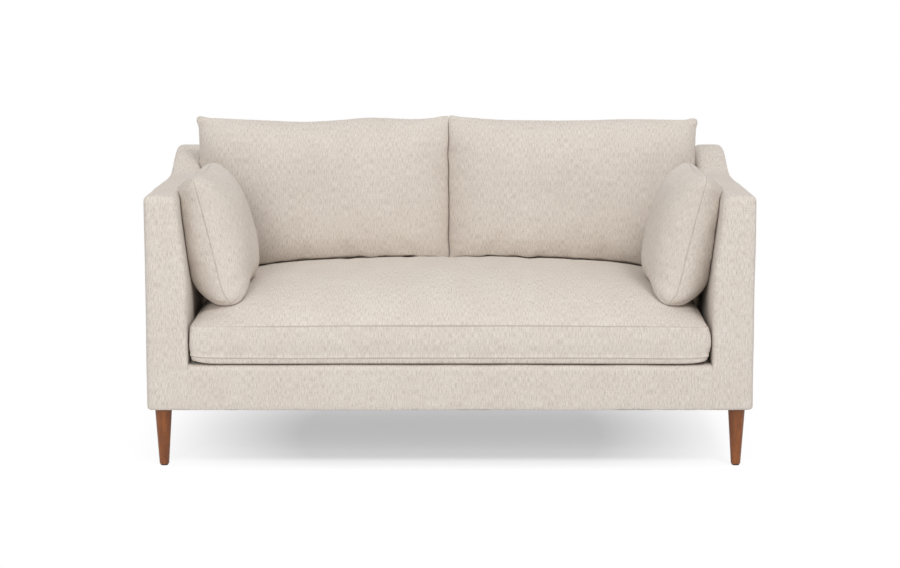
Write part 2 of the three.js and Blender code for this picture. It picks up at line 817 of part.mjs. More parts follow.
function backCushion() {
  const recline = THREE.MathUtils.degToRad(backReclineDegrees);
  const width = halfWidth - backCushionOuterInset - backCushionMiddleGap / 2;
  const cushion = knifeCushion({
    width,
    height: backCushionHeight,
    frontCrown: backCushionFrontCrown,
    rearCrown: backCushionRearCrown,
    drawIn: backCushionDrawIn,
    cornerRadius: backCushionCornerRadius,
    fullness: { face: backFaceFullnessShare, edge: backEdgeFullnessShare },
    columns: 16,
    rows: 12,
  });
  cushion.rotateX(-recline);
  return cushion.translate(
    backCushionMiddleGap / 2 + width / 2,
    fromFront(backCushionSeamDepth - (Math.sin(recline) * backCushionHeight) / 2),
    seatPeak - backCushionSink + (Math.cos(recline) * backCushionHeight) / 2,
  );
}

function sidePillow() {
  const pillow = knifeCushion({
    width: pillowLength,
    height: pillowHeight,
    frontCrown: pillowInnerCrown,
    rearCrown: pillowOuterCrown,
    drawIn: pillowDrawIn,
    cornerRadius: pillowCornerRadius,
    fullness: { face: pillowFaceFullnessShare, edge: pillowEdgeFullnessShare },
    columns: 14,
    rows: 14,
  });
  pillow.rotateZ(-Math.PI / 2);
  pillow.rotateY(THREE.MathUtils.degToRad(pillowLeanDegrees));
  pillow.rotateZ(THREE.MathUtils.degToRad(pillowTurnDegrees));
  return pillow.translate(
    halfWidth - pillowMidInset,
    fromFront(backCushionSeamDepth - pillowMidLead),
    seatPeak + pillowMidRise,
  );
}

function addCushions() {
  const around = { seat: seatCushion(), back: backCover(), arm: armOuterForm() };
  addMesh("seat_cushion", around.seat, looks.cloth);
  for (const side of sides) {
    addMesh(`${side.name}_back_cushion`, pressed(backCushion(), side, around), looks.cloth);
    addMesh(`${side.name}_side_pillow`, pressed(sidePillow(), side, around), looks.cloth);
  }
}

addFrame();
addSuspension();
addUpholstery();
addUnderside();
addCushions();

export default furniture;
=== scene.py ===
import json
import math

import bmesh
import bpy
import numpy as np
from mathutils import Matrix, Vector


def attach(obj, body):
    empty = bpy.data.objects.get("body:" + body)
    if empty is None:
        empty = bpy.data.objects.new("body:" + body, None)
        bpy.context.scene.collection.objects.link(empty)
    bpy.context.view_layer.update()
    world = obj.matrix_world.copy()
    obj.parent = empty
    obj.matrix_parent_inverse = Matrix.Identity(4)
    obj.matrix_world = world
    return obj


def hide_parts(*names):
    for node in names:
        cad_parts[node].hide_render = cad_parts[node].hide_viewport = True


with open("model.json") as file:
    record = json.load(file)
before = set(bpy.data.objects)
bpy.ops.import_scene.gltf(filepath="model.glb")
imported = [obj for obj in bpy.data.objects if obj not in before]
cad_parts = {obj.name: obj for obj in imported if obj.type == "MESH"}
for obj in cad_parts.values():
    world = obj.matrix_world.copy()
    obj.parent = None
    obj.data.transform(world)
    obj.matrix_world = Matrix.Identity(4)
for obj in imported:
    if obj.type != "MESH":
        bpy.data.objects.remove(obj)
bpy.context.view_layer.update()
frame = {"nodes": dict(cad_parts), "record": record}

scene = bpy.context.scene

# Sizes shared with the solids
HALF_DEPTH = 0.4525
DEPTH = 2 * HALF_DEPTH
HALF_WIDTH = 0.8
UNDERSIDE = 0.1555
RAIL_TOP = 0.278
ARM_TOP = 0.724
BACK_TOP = 0.776
ARM_INNER = 0.712
ARM_INNER_SEAT = 0.690
TAPER_FOOT = 0.460
TAPER_RISE = 0.280
ARM_DIP = 0.0085
DIP_DEPTH = 0.570
SWEEP_START = 0.612
SWEEP_END = 0.855
ARM_PRESSED = 0.0055
ARM_EDGE = 0.016
ARM_RIM = 0.024
ARM_RIM_OUTER = 0.014
BACK_PAD_FOOT = 0.125
BACK_PAD_TOP = 0.105
PAD_FLOOR = 0.2634
SHELF_DEPTH = 0.0613
JOIN_GAP = 0.0003
TINY = 1e-6

# The fitted covers' sewn seams: half their width, how deep they lie, and how far in from the arms' edges
SEAM_HALF = 0.0014
SEAM_DEPTH = 0.0011
ARM_SEAM = 0.030

SEAT_HALF_X = ARM_INNER_SEAT - 0.0038
SEAT_FRONT = 0.003
SEAT_REAR = 0.7755
SEAT_FLOOR = 0.2783
SEAT_SEAM_LOW = 0.2935
SEAT_SIDE_IN = 0.009
SEAT_SEAM_TOP = 0.3787
SEAT_PEAK = 0.4833
SEAT_CROWN_MID = 0.450

LEG_X = 0.760
LEG_INSET = 0.044

# Light of the surroundings, level and overhead, and how much the floor brightens for the camera
AMBIENT = (0.39, 0.73)
FLOOR_GLOW = 0.45


def from_front(depth):
    return depth - HALF_DEPTH


def smooth(value):
    t = np.clip(value, 0, 1)
    return t * t * (3 - 2 * t)


def arm_top_at(depth):
    low = ARM_TOP - ARM_DIP * smooth(depth / DIP_DEPTH)
    return low + (BACK_TOP - low) * smooth((depth - SWEEP_START) / (SWEEP_END - SWEEP_START))


# The arms' inner faces, a little pressed in where the side pillows lean on them
def arm_inner_at(z, depth=DEPTH):
    taper = (ARM_INNER - ARM_INNER_SEAT) * smooth((z - TAPER_FOOT) / TAPER_RISE)
    pressed = smooth((depth - 0.03) / 0.08) * smooth((0.56 - depth) / 0.12) * smooth((z - 0.42) / 0.10)
    return ARM_INNER_SEAT + taper + ARM_PRESSED * pressed


def back_inner_depth(z):
    share = (z - PAD_FLOOR) / (BACK_TOP - PAD_FLOOR)
    return DEPTH - BACK_PAD_FOOT + (BACK_PAD_FOOT - BACK_PAD_TOP) * share


def seat_top_at(x, depth):
    u = np.abs(x) / SEAT_HALF_X
    ahead = depth < SEAT_CROWN_MID
    reach = np.where(ahead, SEAT_CROWN_MID - SEAT_FRONT, SEAT_REAR - SEAT_CROWN_MID)
    v = np.abs(depth - SEAT_CROWN_MID) / reach
    side = np.clip(1 - 0.45 * u**2.3 - 0.55 * u**11, 0, 1)
    along = np.clip(1 - v ** np.where(ahead, 3.75, 5), 0, 1)
    return SEAT_SEAM_TOP + (SEAT_PEAK - SEAT_SEAM_TOP) * side * along


# One at zero, and dying out over a width
def bell(value, width):
    return np.exp(-((value / width) ** 2))


# Smooth wandering values, the same on every run
def ripple(points, wavelength, seed, count=7):
    random = np.random.RandomState(seed)
    total = np.zeros(len(points))
    for _ in range(count):
        direction = random.normal(size=3)
        direction /= np.linalg.norm(direction)
        reach = 2 * math.pi / (wavelength * random.uniform(0.6, 1.7))
        total += np.sin(points @ direction * reach + random.uniform(0, 2 * math.pi))
    return total / math.sqrt(count)


def added(name, data):
    holder = bpy.data.objects.new(name, data)
    scene.collection.objects.link(holder)
    return holder


# What Blender holds for each vertex or edge of a mesh
def values(items, name, width, kind=float):
    result = np.zeros(len(items) * width, kind)
    items.foreach_get(name, result)
    return result.reshape(-1, width)


# Meshes from grids of shared points
class Skin:
    def __init__(self):
        self.points = np.zeros((0, 3))
        self.quads = []
        self.weave = []
        self.seam = np.zeros(0)

    def add(self, points):
        points = np.asarray(points, float)
        ids = np.arange(points[..., 0].size).reshape(points.shape[:-1]) + len(self.points)
        self.points = np.vstack([self.points, points.reshape(-1, 3)])
        self.seam = np.concatenate([self.seam, np.zeros(ids.size)])
        return ids

    # The seed keeps the cloth's pattern from repeating from one panel to the next
    def panel(self, ids, across, along, seed, flip=False, keep=None):
        low, high = slice(None, -1), slice(1, None)
        corners = [(low, low), (high, low), (high, high), (low, high)][:: -1 if flip else 1]
        quads = np.stack([ids[c] for c in corners], -1).reshape(-1, 4)
        weave = np.stack([np.stack([across[c], along[c]], -1) for c in corners], -2).reshape(-1, 4, 2)
        if keep is not None:
            quads = quads[keep.ravel()]
            weave = weave[keep.ravel()]
        layer = np.full(weave.shape[:-1] + (1,), float(seed))
        self.quads.append(quads)
        self.weave.append(np.concatenate([weave, layer], -1))

    def build(self, name):
        quads = np.vstack(self.quads)
        mesh = bpy.data.meshes.new(name)
        mesh.from_pydata(self.points.tolist(), [], quads.tolist())
        mesh.polygons.foreach_set("use_smooth", np.ones(len(quads), bool))
        weave = mesh.attributes.new("weave", "FLOAT_VECTOR", "CORNER")
        weave.data.foreach_set("vector", np.vstack(self.weave).astype(np.float32).ravel())
        # The seam value darkens the cloth along sewn seams: painted shade for their grooves
        seam = mesh.attributes.new("seam", "FLOAT", "POINT")
        seam.data.foreach_set("value", self.seam.astype(np.float32))
        mesh.update()
        return added(name, mesh)


# Grid lines between two ends: set distances from each end, even steps between, and extra places
def lines(start, end, step, near=(), extra=()):
    low = [start + d for d in near]
    high = [end - d for d in near]
    first = max(low, default=start)
    last = min(high, default=end)
    count = max(1, round((last - first) / step))
    places = np.array([start, end, *low, *high, *np.linspace(first, last, count + 1)])
    for place, half in extra:
        places = places[np.abs(places - place) > half]
        places = np.append(places, [place - half, place, place + half])
    places = np.sort(places)
    return places[np.concatenate([[True], np.diff(places) > TINY])]


# The six faces of a box of grid lines
def box_skin(xs, ys, zs):
    skin = Skin()
    shell = np.ones((len(xs), len(ys), len(zs)), bool)
    shell[1:-1, 1:-1, 1:-1] = False
    ids = np.full(shell.shape, -1)
    grid = np.stack(np.meshgrid(xs, ys, zs, indexing="ij"), -1)
    ids[shell] = skin.add(grid[shell])
    skin.faces = [
        (ids[:, 0, :], "front", False),
        (ids[:, -1, :], "rear", True),
        (ids[0], "side", True),
        (ids[-1], "side", False),
        (ids[:, :, 0], "under", True),
        (ids[:, :, -1], "top", False),
    ]
    return skin


# Lays the cloth round a box as one wrap, with its warp upright, and over its top to the rear
def wrap(skin, seed, top, mirrored=False):
    for ids, kind, flip in skin.faces:
        x, y, z = np.moveaxis(skin.points[ids], -1, 0)
        depth = y + HALF_DEPTH
        across = {"rear": x + 3, "side": x + np.sign(x) * depth}.get(kind, x)
        along = {"under": z - depth, "top": top + depth}.get(kind, z)
        skin.panel(ids, across, along, seed, flip != mirrored)


# Splits a rectangle's points into a core and a way out of it, for corners of a radius
def from_core(x, y, low, high, radius):
    core_x = np.clip(x, low[0] + radius, high[0] - radius)
    core_y = np.clip(y, low[1] + radius, high[1] - radius)
    out_x = x - core_x
    out_y = y - core_y
    reach = np.maximum(np.abs(out_x), np.abs(out_y))
    length = np.maximum(np.hypot(out_x, out_y), 1e-9)
    return core_x, core_y, out_x / length, out_y / length, reach


def round_plan(x, y, low, high, radius):
    core_x, core_y, way_x, way_y, reach = from_core(x, y, low, high, radius)
    return core_x + way_x * reach, core_y + way_y * reach


# Rounds the edges of a box alike
def rounded(points, low, high, radius):
    core = np.clip(points, np.array(low) + radius, np.array(high) - radius)
    out = points - core
    length = np.linalg.norm(out, axis=1, keepdims=True)
    reach = np.minimum(radius, np.max(np.abs(out), axis=1, keepdims=True))
    return core + np.where(length > 1e-9, out / np.maximum(length, 1e-9) * reach, 0)


# Rounds a box's upright edges, and more softly the rim round its top
def rimmed(points, low, high, top, edge, rims):
    drop = top - points[:, 2]
    rim = rims[0] + (rims[1] - rims[0]) * smooth((points[:, 0] - low[0]) / (high[0] - low[0]))
    radius = edge + (rim - edge) * (1 - smooth((drop - rim) / (2 * rim)))
    core_x, core_y, way_x, way_y, out = from_core(points[:, 0], points[:, 1], low, high, radius)
    up = np.maximum(0, rim - drop)
    share = np.where(up > 0, np.maximum(out, up) / np.maximum(np.hypot(out, up), 1e-9), 1)
    height = np.where(up > 0, top - rim + up * share, points[:, 2])
    return np.column_stack([core_x + way_x * out * share, core_y + way_y * out * share, height])


# Keeps the edges between chosen points sharp
def creased(piece, chosen):
    mesh = piece.data
    sharp = chosen[values(mesh.edges, "vertices", 2, int)].all(axis=1)
    mesh.attributes.new("crease_edge", "FLOAT", "EDGE").data.foreach_set("value", sharp.astype(np.float32))
    mesh.attributes.new("sharp_edge", "BOOLEAN", "EDGE").data.foreach_set("value", sharp)


# Materials
def shade(red, green, blue):
    tone = np.array([red, green, blue]) / 255
    linear = np.where(tone <= 0.04045, tone / 12.92, ((tone + 0.055) / 1.055) ** 2.4)
    return (*linear, 1)


# A node tree, built up from its sockets
class Graph:
    def __init__(self, owner, output="OutputMaterial"):
        owner.use_nodes = True
        self.owner = owner
        self.tree = owner.node_tree
        self.tree.nodes.clear()
        self.end = self.tree.nodes.new("ShaderNode" + output).inputs["Surface"]

    def put(self, value, socket):
        if isinstance(value, bpy.types.NodeSocket):
            self.tree.links.new(value, socket)
        else:
            socket.default_value = value

    def node(self, kind, inputs, output=0, **settings):
        node = self.tree.nodes.new("ShaderNode" + kind)
        for name, value in settings.items():
            setattr(node, name, value)
        for name, value in inputs.items():
            self.put(value, node.inputs[name])
        return node.outputs[output]

    def place(self, kind="Object"):
        return self.node("TexCoord", {}, kind)

    def math(self, operation, a, b=0.0, c=0.0):
        return self.node("Math", {0: a, 1: b, 2: c}, operation=operation)

    def between(self, value, low, high, to_low=0.0, to_high=1.0):
        return self.node("MapRange", dict(enumerate((value, low, high, to_low, to_high))))

    def mix(self, factor, a, b):
        return self.node("Mix", {"Factor": factor, 6: a, 7: b}, 2, data_type="RGBA")

    # Lays tones over a colour, each where its value runs from the first bound to the second
    def tinted(self, colour, *tints):
        for value, start, full, share, tone in tints:
            colour = self.mix(self.between(value, start, full, 0.0, share), colour, shade(*tone))
        return colour

    def scaled(self, vector, scale):
        return self.node("Mapping", {"Vector": vector, "Scale": scale})

    def noise(self, vector, scale, detail=2.0, roughness=0.5, distortion=0.0):
        if isinstance(scale, tuple):
            vector, scale = self.scaled(vector, scale), 1.0
        names = ("Vector", "Scale", "Detail", "Roughness", "Distortion")
        return self.node("TexNoise", dict(zip(names, (vector, scale, detail, roughness, distortion))))

    # The roughness follows a value between two ends, and the bump has a height, a distance and a strength
    def surface(self, colour, rough, bump, **constants):
        inputs = {"Base Color": colour, "Roughness": self.between(rough[0], 0.3, 0.7, *rough[1:])}
        inputs["Normal"] = self.node("Bump", dict(zip(("Height", "Distance", "Strength"), bump)))
        inputs.update({name.replace("_", " "): value for name, value in constants.items()})
        self.put(self.node("BsdfPrincipled", inputs), self.end)
        return self.owner


def material(name):
    return Graph(bpy.data.materials.new(name))


def weave_height(graph, place, pitch_across, pitch_along):
    waves = []
    for axis, pitch in (("X", pitch_across), ("Y", pitch_along)):
        run = graph.node("SeparateXYZ", {0: place}, axis)
        waves.append(graph.math("SINE", graph.math("MULTIPLY", run, 2 * math.pi / pitch)))
    return graph.math("MULTIPLY_ADD", graph.math("MULTIPLY", *waves), 0.5, 0.5)


def cloth_material():
    graph = material("upholstery_cloth")
    place = graph.node("Attribute", {}, "Vector", attribute_name="weave")
    # How near a sewn seam the point lies, for the painted seam shade below
    seam = graph.node("Attribute", {}, "Fac", attribute_name="seam")
    bend = {0: graph.noise(place, (9, 9, 1)), 1: (0.010, 0.004, 0), 2: place}
    yarn = graph.node("VectorMath", bend, operation="MULTIPLY_ADD")
    slubs = graph.noise(yarn, (400, 60, 1), 1.0)
    thick_yarns = graph.noise(yarn, (110, 560, 1), 2.0, 0.6)
    flecks = graph.noise(yarn, (420, 400, 1), 0.0)
    cloud = graph.noise(place, (11, 7, 1), 3.0, 0.55)
    weave = weave_height(graph, yarn, 0.0021, 0.0025)
    colour = graph.tinted(
        graph.mix(graph.between(cloud, 0.3, 0.7), shade(217, 207, 197), shade(222, 213, 203)),
        (thick_yarns, 0.48, 0.30, 0.10, (188, 176, 166)),
        (slubs, 0.50, 0.26, 0.44, (170, 158, 147)),
        (slubs, 0.52, 0.76, 0.44, (245, 238, 231)),
        (flecks, 0.40, 0.26, 0.40, (174, 162, 152)),
        (flecks, 0.62, 0.76, 0.25, (244, 239, 233)),
        (weave, 0.35, 0.0, 0.14, (168, 155, 145)),
    )
    # Painted shade: the cloth darkens along the sewn seams, where their grooves lie
    colour = graph.mix(graph.math("MULTIPLY", seam, 0.55), colour, shade(134, 120, 109))
    height = graph.math("MULTIPLY_ADD", slubs, 1.1, graph.math("MULTIPLY", weave, 0.5))
    height = graph.math("MULTIPLY_ADD", flecks, 0.5, height)
    sheen = {"Sheen_Weight": 0.10, "Sheen_Roughness": 0.6, "Specular_IOR_Level": 0.2}
    return graph.surface(colour, (slubs, 0.96, 0.86), (height, 0.0008, 0.5), **sheen)


def leg_material():
    graph = material("leg_walnut")
    place = graph.place()
    figure = graph.noise(place, (46, 46, 5), 4.0, 0.6, 0.6)
    grain = graph.noise(place, (420, 420, 16), 3.0, 0.65)
    pores = graph.noise(place, (1500, 1500, 60), 1.0)
    colour = graph.mix(graph.between(figure, 0.32, 0.70), shade(112, 57, 18), shade(156, 89, 35))
    dark = (grain, 0.52, 0.36, 0.55, (86, 42, 18)), (pores, 0.40, 0.28, 0.6, (62, 31, 15))
    colour = graph.tinted(colour, *dark)
    height = graph.math("MULTIPLY_ADD", pores, 0.6, grain)
    coat = {"Coat_Weight": 0.05, "Coat_Roughness": 0.4}
    return graph.surface(colour, (grain, 0.52, 0.40), (height, 0.00025, 0.4), **coat)


def board_material():
    graph = material("frame_wood")
    place = graph.place()
    figure = graph.noise(place, (9, 30, 30), 4.0, 0.6, 1.2)
    grain = graph.noise(place, (30, 260, 260), 3.0, 0.65)
    colour = graph.mix(graph.between(figure, 0.3, 0.7), shade(190, 152, 106), shade(215, 184, 140))
    colour = graph.tinted(colour, (grain, 0.50, 0.34, 0.5, (158, 118, 76)))
    return graph.surface(colour, (grain, 0.86, 0.72), (grain, 0.0006, 0.5))


def steel_material(name, tone, rough):
    graph = material(name)
    wear = graph.noise(graph.place(), 60.0, 3.0, 0.6)
    scratch = graph.noise(graph.place(), (900, 60, 900))
    colour = graph.mix(graph.between(wear, 0.35, 0.7), shade(*tone), shade(196, 198, 202))
    return graph.surface(colour, (scratch, *rough), (scratch, 0.0001, 0.3), Metallic=1.0)


def plain_weave_material(name, dark, light, pitch):
    graph = material(name)
    place = graph.place()
    fibres = graph.noise(place, (500, 500, 500), 3.0, 0.6)
    patches = graph.noise(place, 18.0, 3.0, 0.6)
    weave = weave_height(graph, place, pitch, pitch)
    colour = graph.mix(graph.between(fibres, 0.3, 0.7), shade(*dark), shade(*light))
    colour = graph.tinted(colour, (patches, 0.35, 0.7, 0.25, light))
    height = graph.math("MULTIPLY_ADD", fibres, 0.6, weave)
    return graph.surface(colour, (fibres, 0.97, 0.85), (height, 0.0006, 0.5))


def plastic_material():
    graph = material("glide_plastic")
    grain = graph.noise(graph.place(), 1400.0, 2.0, 0.6)
    colour = graph.mix(graph.between(grain, 0.3, 0.7), shade(26, 26, 27), shade(38, 38, 39))
    return graph.surface(colour, (grain, 0.62, 0.50), (grain, 0.00008, 0.4))


MATERIALS = {
    "upholstery_cloth": cloth_material(),
    "leg_wood": leg_material(),
    "frame_wood": board_material(),
    "spring_steel": steel_material("spring_steel", (120, 122, 126), (0.30, 0.45)),
    "fixing_steel": steel_material("fixing_steel", (168, 170, 174), (0.28, 0.40)),
    "webbing": plain_weave_material("webbing", (24, 24, 26), (44, 44, 47), 0.0024),
    "deck_felt": plain_weave_material("deck_felt", (188, 184, 176), (212, 208, 200), 0.0016),
    "dust_lining": plain_weave_material("dust_lining", (16, 16, 17), (32, 32, 34), 0.0012),
    "glide_plastic": plastic_material(),
}


def dress(piece, slot, body, *replaced):
    piece.data.materials.clear()
    piece.data.materials.append(MATERIALS[slot])
    if replaced:
        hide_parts(*replaced)
    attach(piece, body)


def subdivided(piece):
    modifier = piece.modifiers.new("smooth", "SUBSURF")
    modifier.levels = modifier.render_levels = 1
    return piece


# Finishes a fitted piece: puts its depths into the shared frame, gives it the small unevenness of cloth
# pulled over padding, the same field for all, and lays its cloth
def fitted(skin, points, name, node, top, side=1, size=0.0006, seed=3.1, slot="upholstery_cloth"):
    points[:, 1] = from_front(points[:, 1])
    points[:, 0] *= side
    field = [ripple(points, wavelength, n) for wavelength, n in ((0.19, 11), (0.23, 12), (0.21, 13))]
    skin.points = points + size * np.stack(field, 1)
    skin.points[:, 2] = np.maximum(skin.points[:, 2], UNDERSIDE)
    wrap(skin, seed, top, side < 0)
    piece = subdivided(skin.build(name))
    dress(piece, slot, "frame", node)
    return piece


def arm_cover(side):
    near = (ARM_EDGE * 0.42, ARM_EDGE, ARM_RIM)
    arc = (ARM_RIM * 0.1, ARM_RIM * 0.3, ARM_RIM * 0.6, ARM_RIM)
    rear_seam = DEPTH - ARM_SEAM
    top_seam = ARM_TOP - ARM_SEAM
    xs = lines(ARM_INNER, HALF_WIDTH, 0.016, near)
    ys = lines(0, DEPTH, 0.012, near, ((ARM_SEAM, SEAM_HALF), (rear_seam, SEAM_HALF)))
    zs = lines(UNDERSIDE, ARM_TOP, 0.013, arc, ((top_seam, SEAM_HALF), (RAIL_TOP, 0.002)))
    skin = box_skin(xs, ys, zs)
    flat = skin.points.copy()

    # The outside panel is sewn in along its front, top and rear: a groove, and painted shade darkening the
    # cloth along it
    reach = np.minimum(flat[:, 1] - ARM_SEAM, rear_seam - flat[:, 1])
    reach = np.minimum(reach, top_seam - flat[:, 2])
    skin.seam = np.where(flat[:, 0] > HALF_WIDTH - TINY, bell(reach, SEAM_HALF * 0.8), 0)

    points = rimmed(flat, (ARM_INNER, 0), (HALF_WIDTH, DEPTH), ARM_TOP, ARM_EDGE, (ARM_RIM, ARM_RIM_OUTER))
    # Beside the rail the front face runs on level into the rail's own
    sharp = 1 - smooth((flat[:, 2] - RAIL_TOP + 0.004) / 0.024)
    near_rail = (flat[:, 0] < ARM_INNER + ARM_RIM + TINY) & (flat[:, 1] < ARM_RIM + TINY)
    sharp = np.where(near_rail, sharp, 0)[:, None]
    points = points * (1 - sharp) + flat * sharp
    # A tighter turn where the cloth goes under the frame
    foot = 0.006
    low = np.clip(UNDERSIDE + foot - points[:, 2], 0, foot)
    inset = foot - np.sqrt(foot**2 - low**2)
    middle = np.array([(ARM_INNER + HALF_WIDTH) / 2, HALF_DEPTH])
    for axis, half in ((0, (HALF_WIDTH - ARM_INNER) / 2), (1, HALF_DEPTH)):
        out = points[:, axis] - middle[axis]
        edge = np.clip((np.abs(out) - half + ARM_EDGE) / ARM_EDGE, 0, 1)
        hidden = (axis == 0) & (out < 0) & (points[:, 2] < RAIL_TOP)
        points[:, axis] -= np.where(hidden, 0, np.sign(out) * inset * edge)

    # The upper part follows the sweep of the top, and the inner face its taper
    lift = smooth((points[:, 2] - 0.50) / 0.18)
    points[:, 2] += lift * (arm_top_at(points[:, 1]) - ARM_TOP)
    taper = np.clip((HALF_WIDTH - points[:, 0]) / (HALF_WIDTH - ARM_INNER), 0, 1)
    points[:, 0] += taper * (arm_inner_at(flat[:, 2], flat[:, 1]) - ARM_INNER)
    points[:, 0] -= skin.seam * SEAM_DEPTH
    name = "left" if side < 0 else "right"
    piece = fitted(skin, points, f"{name}_arm_upholstery", f"{name}_arm_cover", ARM_TOP, side)
    creased(piece, (flat[:, 0] < ARM_INNER + TINY) & (flat[:, 1] < TINY) & (flat[:, 2] < RAIL_TOP + TINY))


def front_rail_cover():
    radius = 0.016
    arc = (radius * 0.25, radius * 0.55, radius)
    half = ARM_INNER_SEAT - JOIN_GAP / 2
    zs = lines(UNDERSIDE, RAIL_TOP, 0.012, arc)
    skin = box_skin(lines(-half, half, 0.020), lines(0, SHELF_DEPTH, 0.012, arc), zs)
    points = rounded(skin.points, (-half - 1, 0, UNDERSIDE), (half + 1, SHELF_DEPTH, RAIL_TOP), radius)
    ends = np.abs(skin.points[:, 0]) > half - TINY
    foot = np.where(points[:, 2] < (UNDERSIDE + RAIL_TOP) / 2, 0.35, 1.0)[:, None]
    points = skin.points * (1 - foot) + points * foot
    # The seat cushion presses the padding down a little
    points[:, 2] -= 0.0030 * smooth((points[:, 2] - RAIL_TOP) / 0.012 + 1)
    piece = fitted(skin, points, "front_rail_upholstery", "front_rail_cover", RAIL_TOP)
    creased(piece, ends)


def back_cover():
    radius = 0.016
    arc = (radius * 0.42, radius)
    half = ARM_INNER_SEAT - JOIN_GAP
    thick = BACK_PAD_TOP
    side_seam = half - 0.022
    top_seam = BACK_TOP - 0.026
    xs = lines(-half, half, 0.018, (), ((-side_seam, SEAM_HALF), (side_seam, SEAM_HALF)))
    zs = lines(UNDERSIDE, BACK_TOP, 0.014, arc, ((top_seam, SEAM_HALF),))
    skin = box_skin(xs, lines(0, thick, 0.016, arc), zs)
    flat = skin.points.copy()
    # The rear panel is sewn in along its sides and top: a groove, and painted shade darkening the cloth
    # along it
    reach = np.minimum(side_seam - np.abs(flat[:, 0]), top_seam - flat[:, 2])
    skin.seam = np.where(flat[:, 1] > thick - TINY, bell(reach, SEAM_HALF * 0.8), 0)
    points = rounded(flat, (-half - 1, 0, UNDERSIDE - 1), (half + 1, thick, BACK_TOP), radius)
    ahead = 1 - points[:, 1] / thick
    points[:, 1] += DEPTH - thick
    points[:, 1] -= ahead * (DEPTH - thick - back_inner_depth(np.maximum(flat[:, 2], PAD_FLOOR)))
    points[:, 1] -= skin.seam * SEAM_DEPTH
    points[:, 0] *= (arm_inner_at(points[:, 2]) - JOIN_GAP) / half
    piece = fitted(skin, points, "back_upholstery", "back_cover", BACK_TOP)


def deck():
    front = SHELF_DEPTH + JOIN_GAP
    rear = back_inner_depth(PAD_FLOOR) - JOIN_GAP
    half = ARM_INNER_SEAT - JOIN_GAP
    radius = 0.005
    arc = (radius * 0.42, radius)
    seam = front + 0.045
    ys = lines(front, rear, 0.022, arc, ((seam, SEAM_HALF),))
    skin = box_skin(lines(-half, half, 0.022, arc), ys, lines(PAD_FLOOR, RAIL_TOP, 0.006, arc))
    flat = skin.points.copy()
    points = rounded(flat, (-half, front, PAD_FLOOR), (half, rear, RAIL_TOP), radius)
    top = flat[:, 2] > RAIL_TOP - TINY
    skin.seam = np.where(top, bell(flat[:, 1] - seam, 0.0012), 0)
    points[:, 2] -= top * (0.0006 + 0.0005 * ripple(flat, 0.16, 5)) + skin.seam * 0.001
    piece = fitted(skin, points, "deck_padding", "deck_pad", RAIL_TOP, size=0, seed=23.9, slot="deck_felt")


# Underside: a thin lining, pulled tight between the rails and stapled round its edge
STAPLE_PITCH = 0.060


def dust_cover():
    half_x = 0.7875
    half_y = HALF_DEPTH - 0.0125
    window = 0.0253

    # Grid lines along one axis, and which of their spans are left open for the legs
    def spans(half, leg):
        edges = [s * leg + t * window for s in (-1, 1) for t in (-1, 1)]
        places = np.unique(np.round([*lines(-half, half, 0.03), *edges], 6))
        return places, np.abs(np.abs(places[1:] + places[:-1]) / 2 - leg) < window

    xs, in_x = spans(half_x, LEG_X)
    ys, in_y = spans(half_y, HALF_DEPTH - LEG_INSET)
    grid_x, grid_y = np.meshgrid(xs, ys, indexing="ij")
    u = grid_x / half_x
    v = grid_y / half_y
    sag = 0.003 * (1 - u**4) * (1 - v**4)
    gather = 0.0006 * np.cos(grid_x * 2 * math.pi / STAPLE_PITCH) * np.abs(v) ** 20
    gather += 0.0006 * np.cos(grid_y * 2 * math.pi / STAPLE_PITCH) * np.abs(u) ** 20
    z = UNDERSIDE - 0.0004 - sag + gather * 0.5
    skin = Skin()
    ids = skin.add(np.stack([grid_x, grid_y, z], -1))
    skin.panel(ids, grid_x, grid_y, 31.0, True, ~(in_x[:, None] & in_y))
    piece = skin.build("dust_lining")
    thick = piece.modifiers.new("cloth", "SOLIDIFY")
    thick.thickness = 0.0005
    thick.offset = -1
    dress(piece, "dust_lining", "frame", "dust_cover")
    staples(half_x - 0.007, half_y - 0.007)


def staples(half_x, half_y):
    wire = 0.0006
    half = 0.005
    clear = 0.035
    places = []
    for x in np.arange(-half_x + STAPLE_PITCH / 2, half_x, STAPLE_PITCH):
        if abs(abs(x) - LEG_X) > clear:
            places += [(x, -half_y, (0, 1, 2)), (x, half_y, (0, 1, 2))]
    for y in np.arange(-half_y + STAPLE_PITCH, half_y - STAPLE_PITCH / 2, STAPLE_PITCH):
        if abs(abs(y) - HALF_DEPTH + LEG_INSET) > clear:
            places += [(-half_x, y, (1, 0, 2)), (half_x, y, (1, 0, 2))]
    # Six squares of wire along the staple: up, round a bend, across, round the other and up again
    along = np.array([-half, -half, -half + wire, half - wire, half, half])[:, None]
    down = np.array([0.002, 0, -wire, -wire, 0, 0.002])[:, None]
    a, b = wire * np.array([(-1, -1), (1, -1), (1, 1), (-1, 1)]).T
    along = along + b * np.where(down == 0, 0.9, 0)
    grid = np.stack(np.broadcast_arrays(along, a, UNDERSIDE - 0.0008 + down + b * 0.6), -1)
    points = np.concatenate([(grid[..., order] + (x, y, 0)).reshape(-1, 3) for x, y, order in places])
    beside = [k - k % 4 + (k + 1) % 4 for k in range(20)]
    faces = [(k, beside[k], beside[k] + 4, k + 4) for k in range(20)] + [(3, 2, 1, 0), (20, 21, 22, 23)]
    faces = [tuple(24 * n + k for k in face) for n in range(len(places)) for face in faces]
    mesh = bpy.data.meshes.new("lining_staples")
    mesh.from_pydata(points.tolist(), [], faces)
    dress(added("lining_staples", mesh), "fixing_steel", "frame")


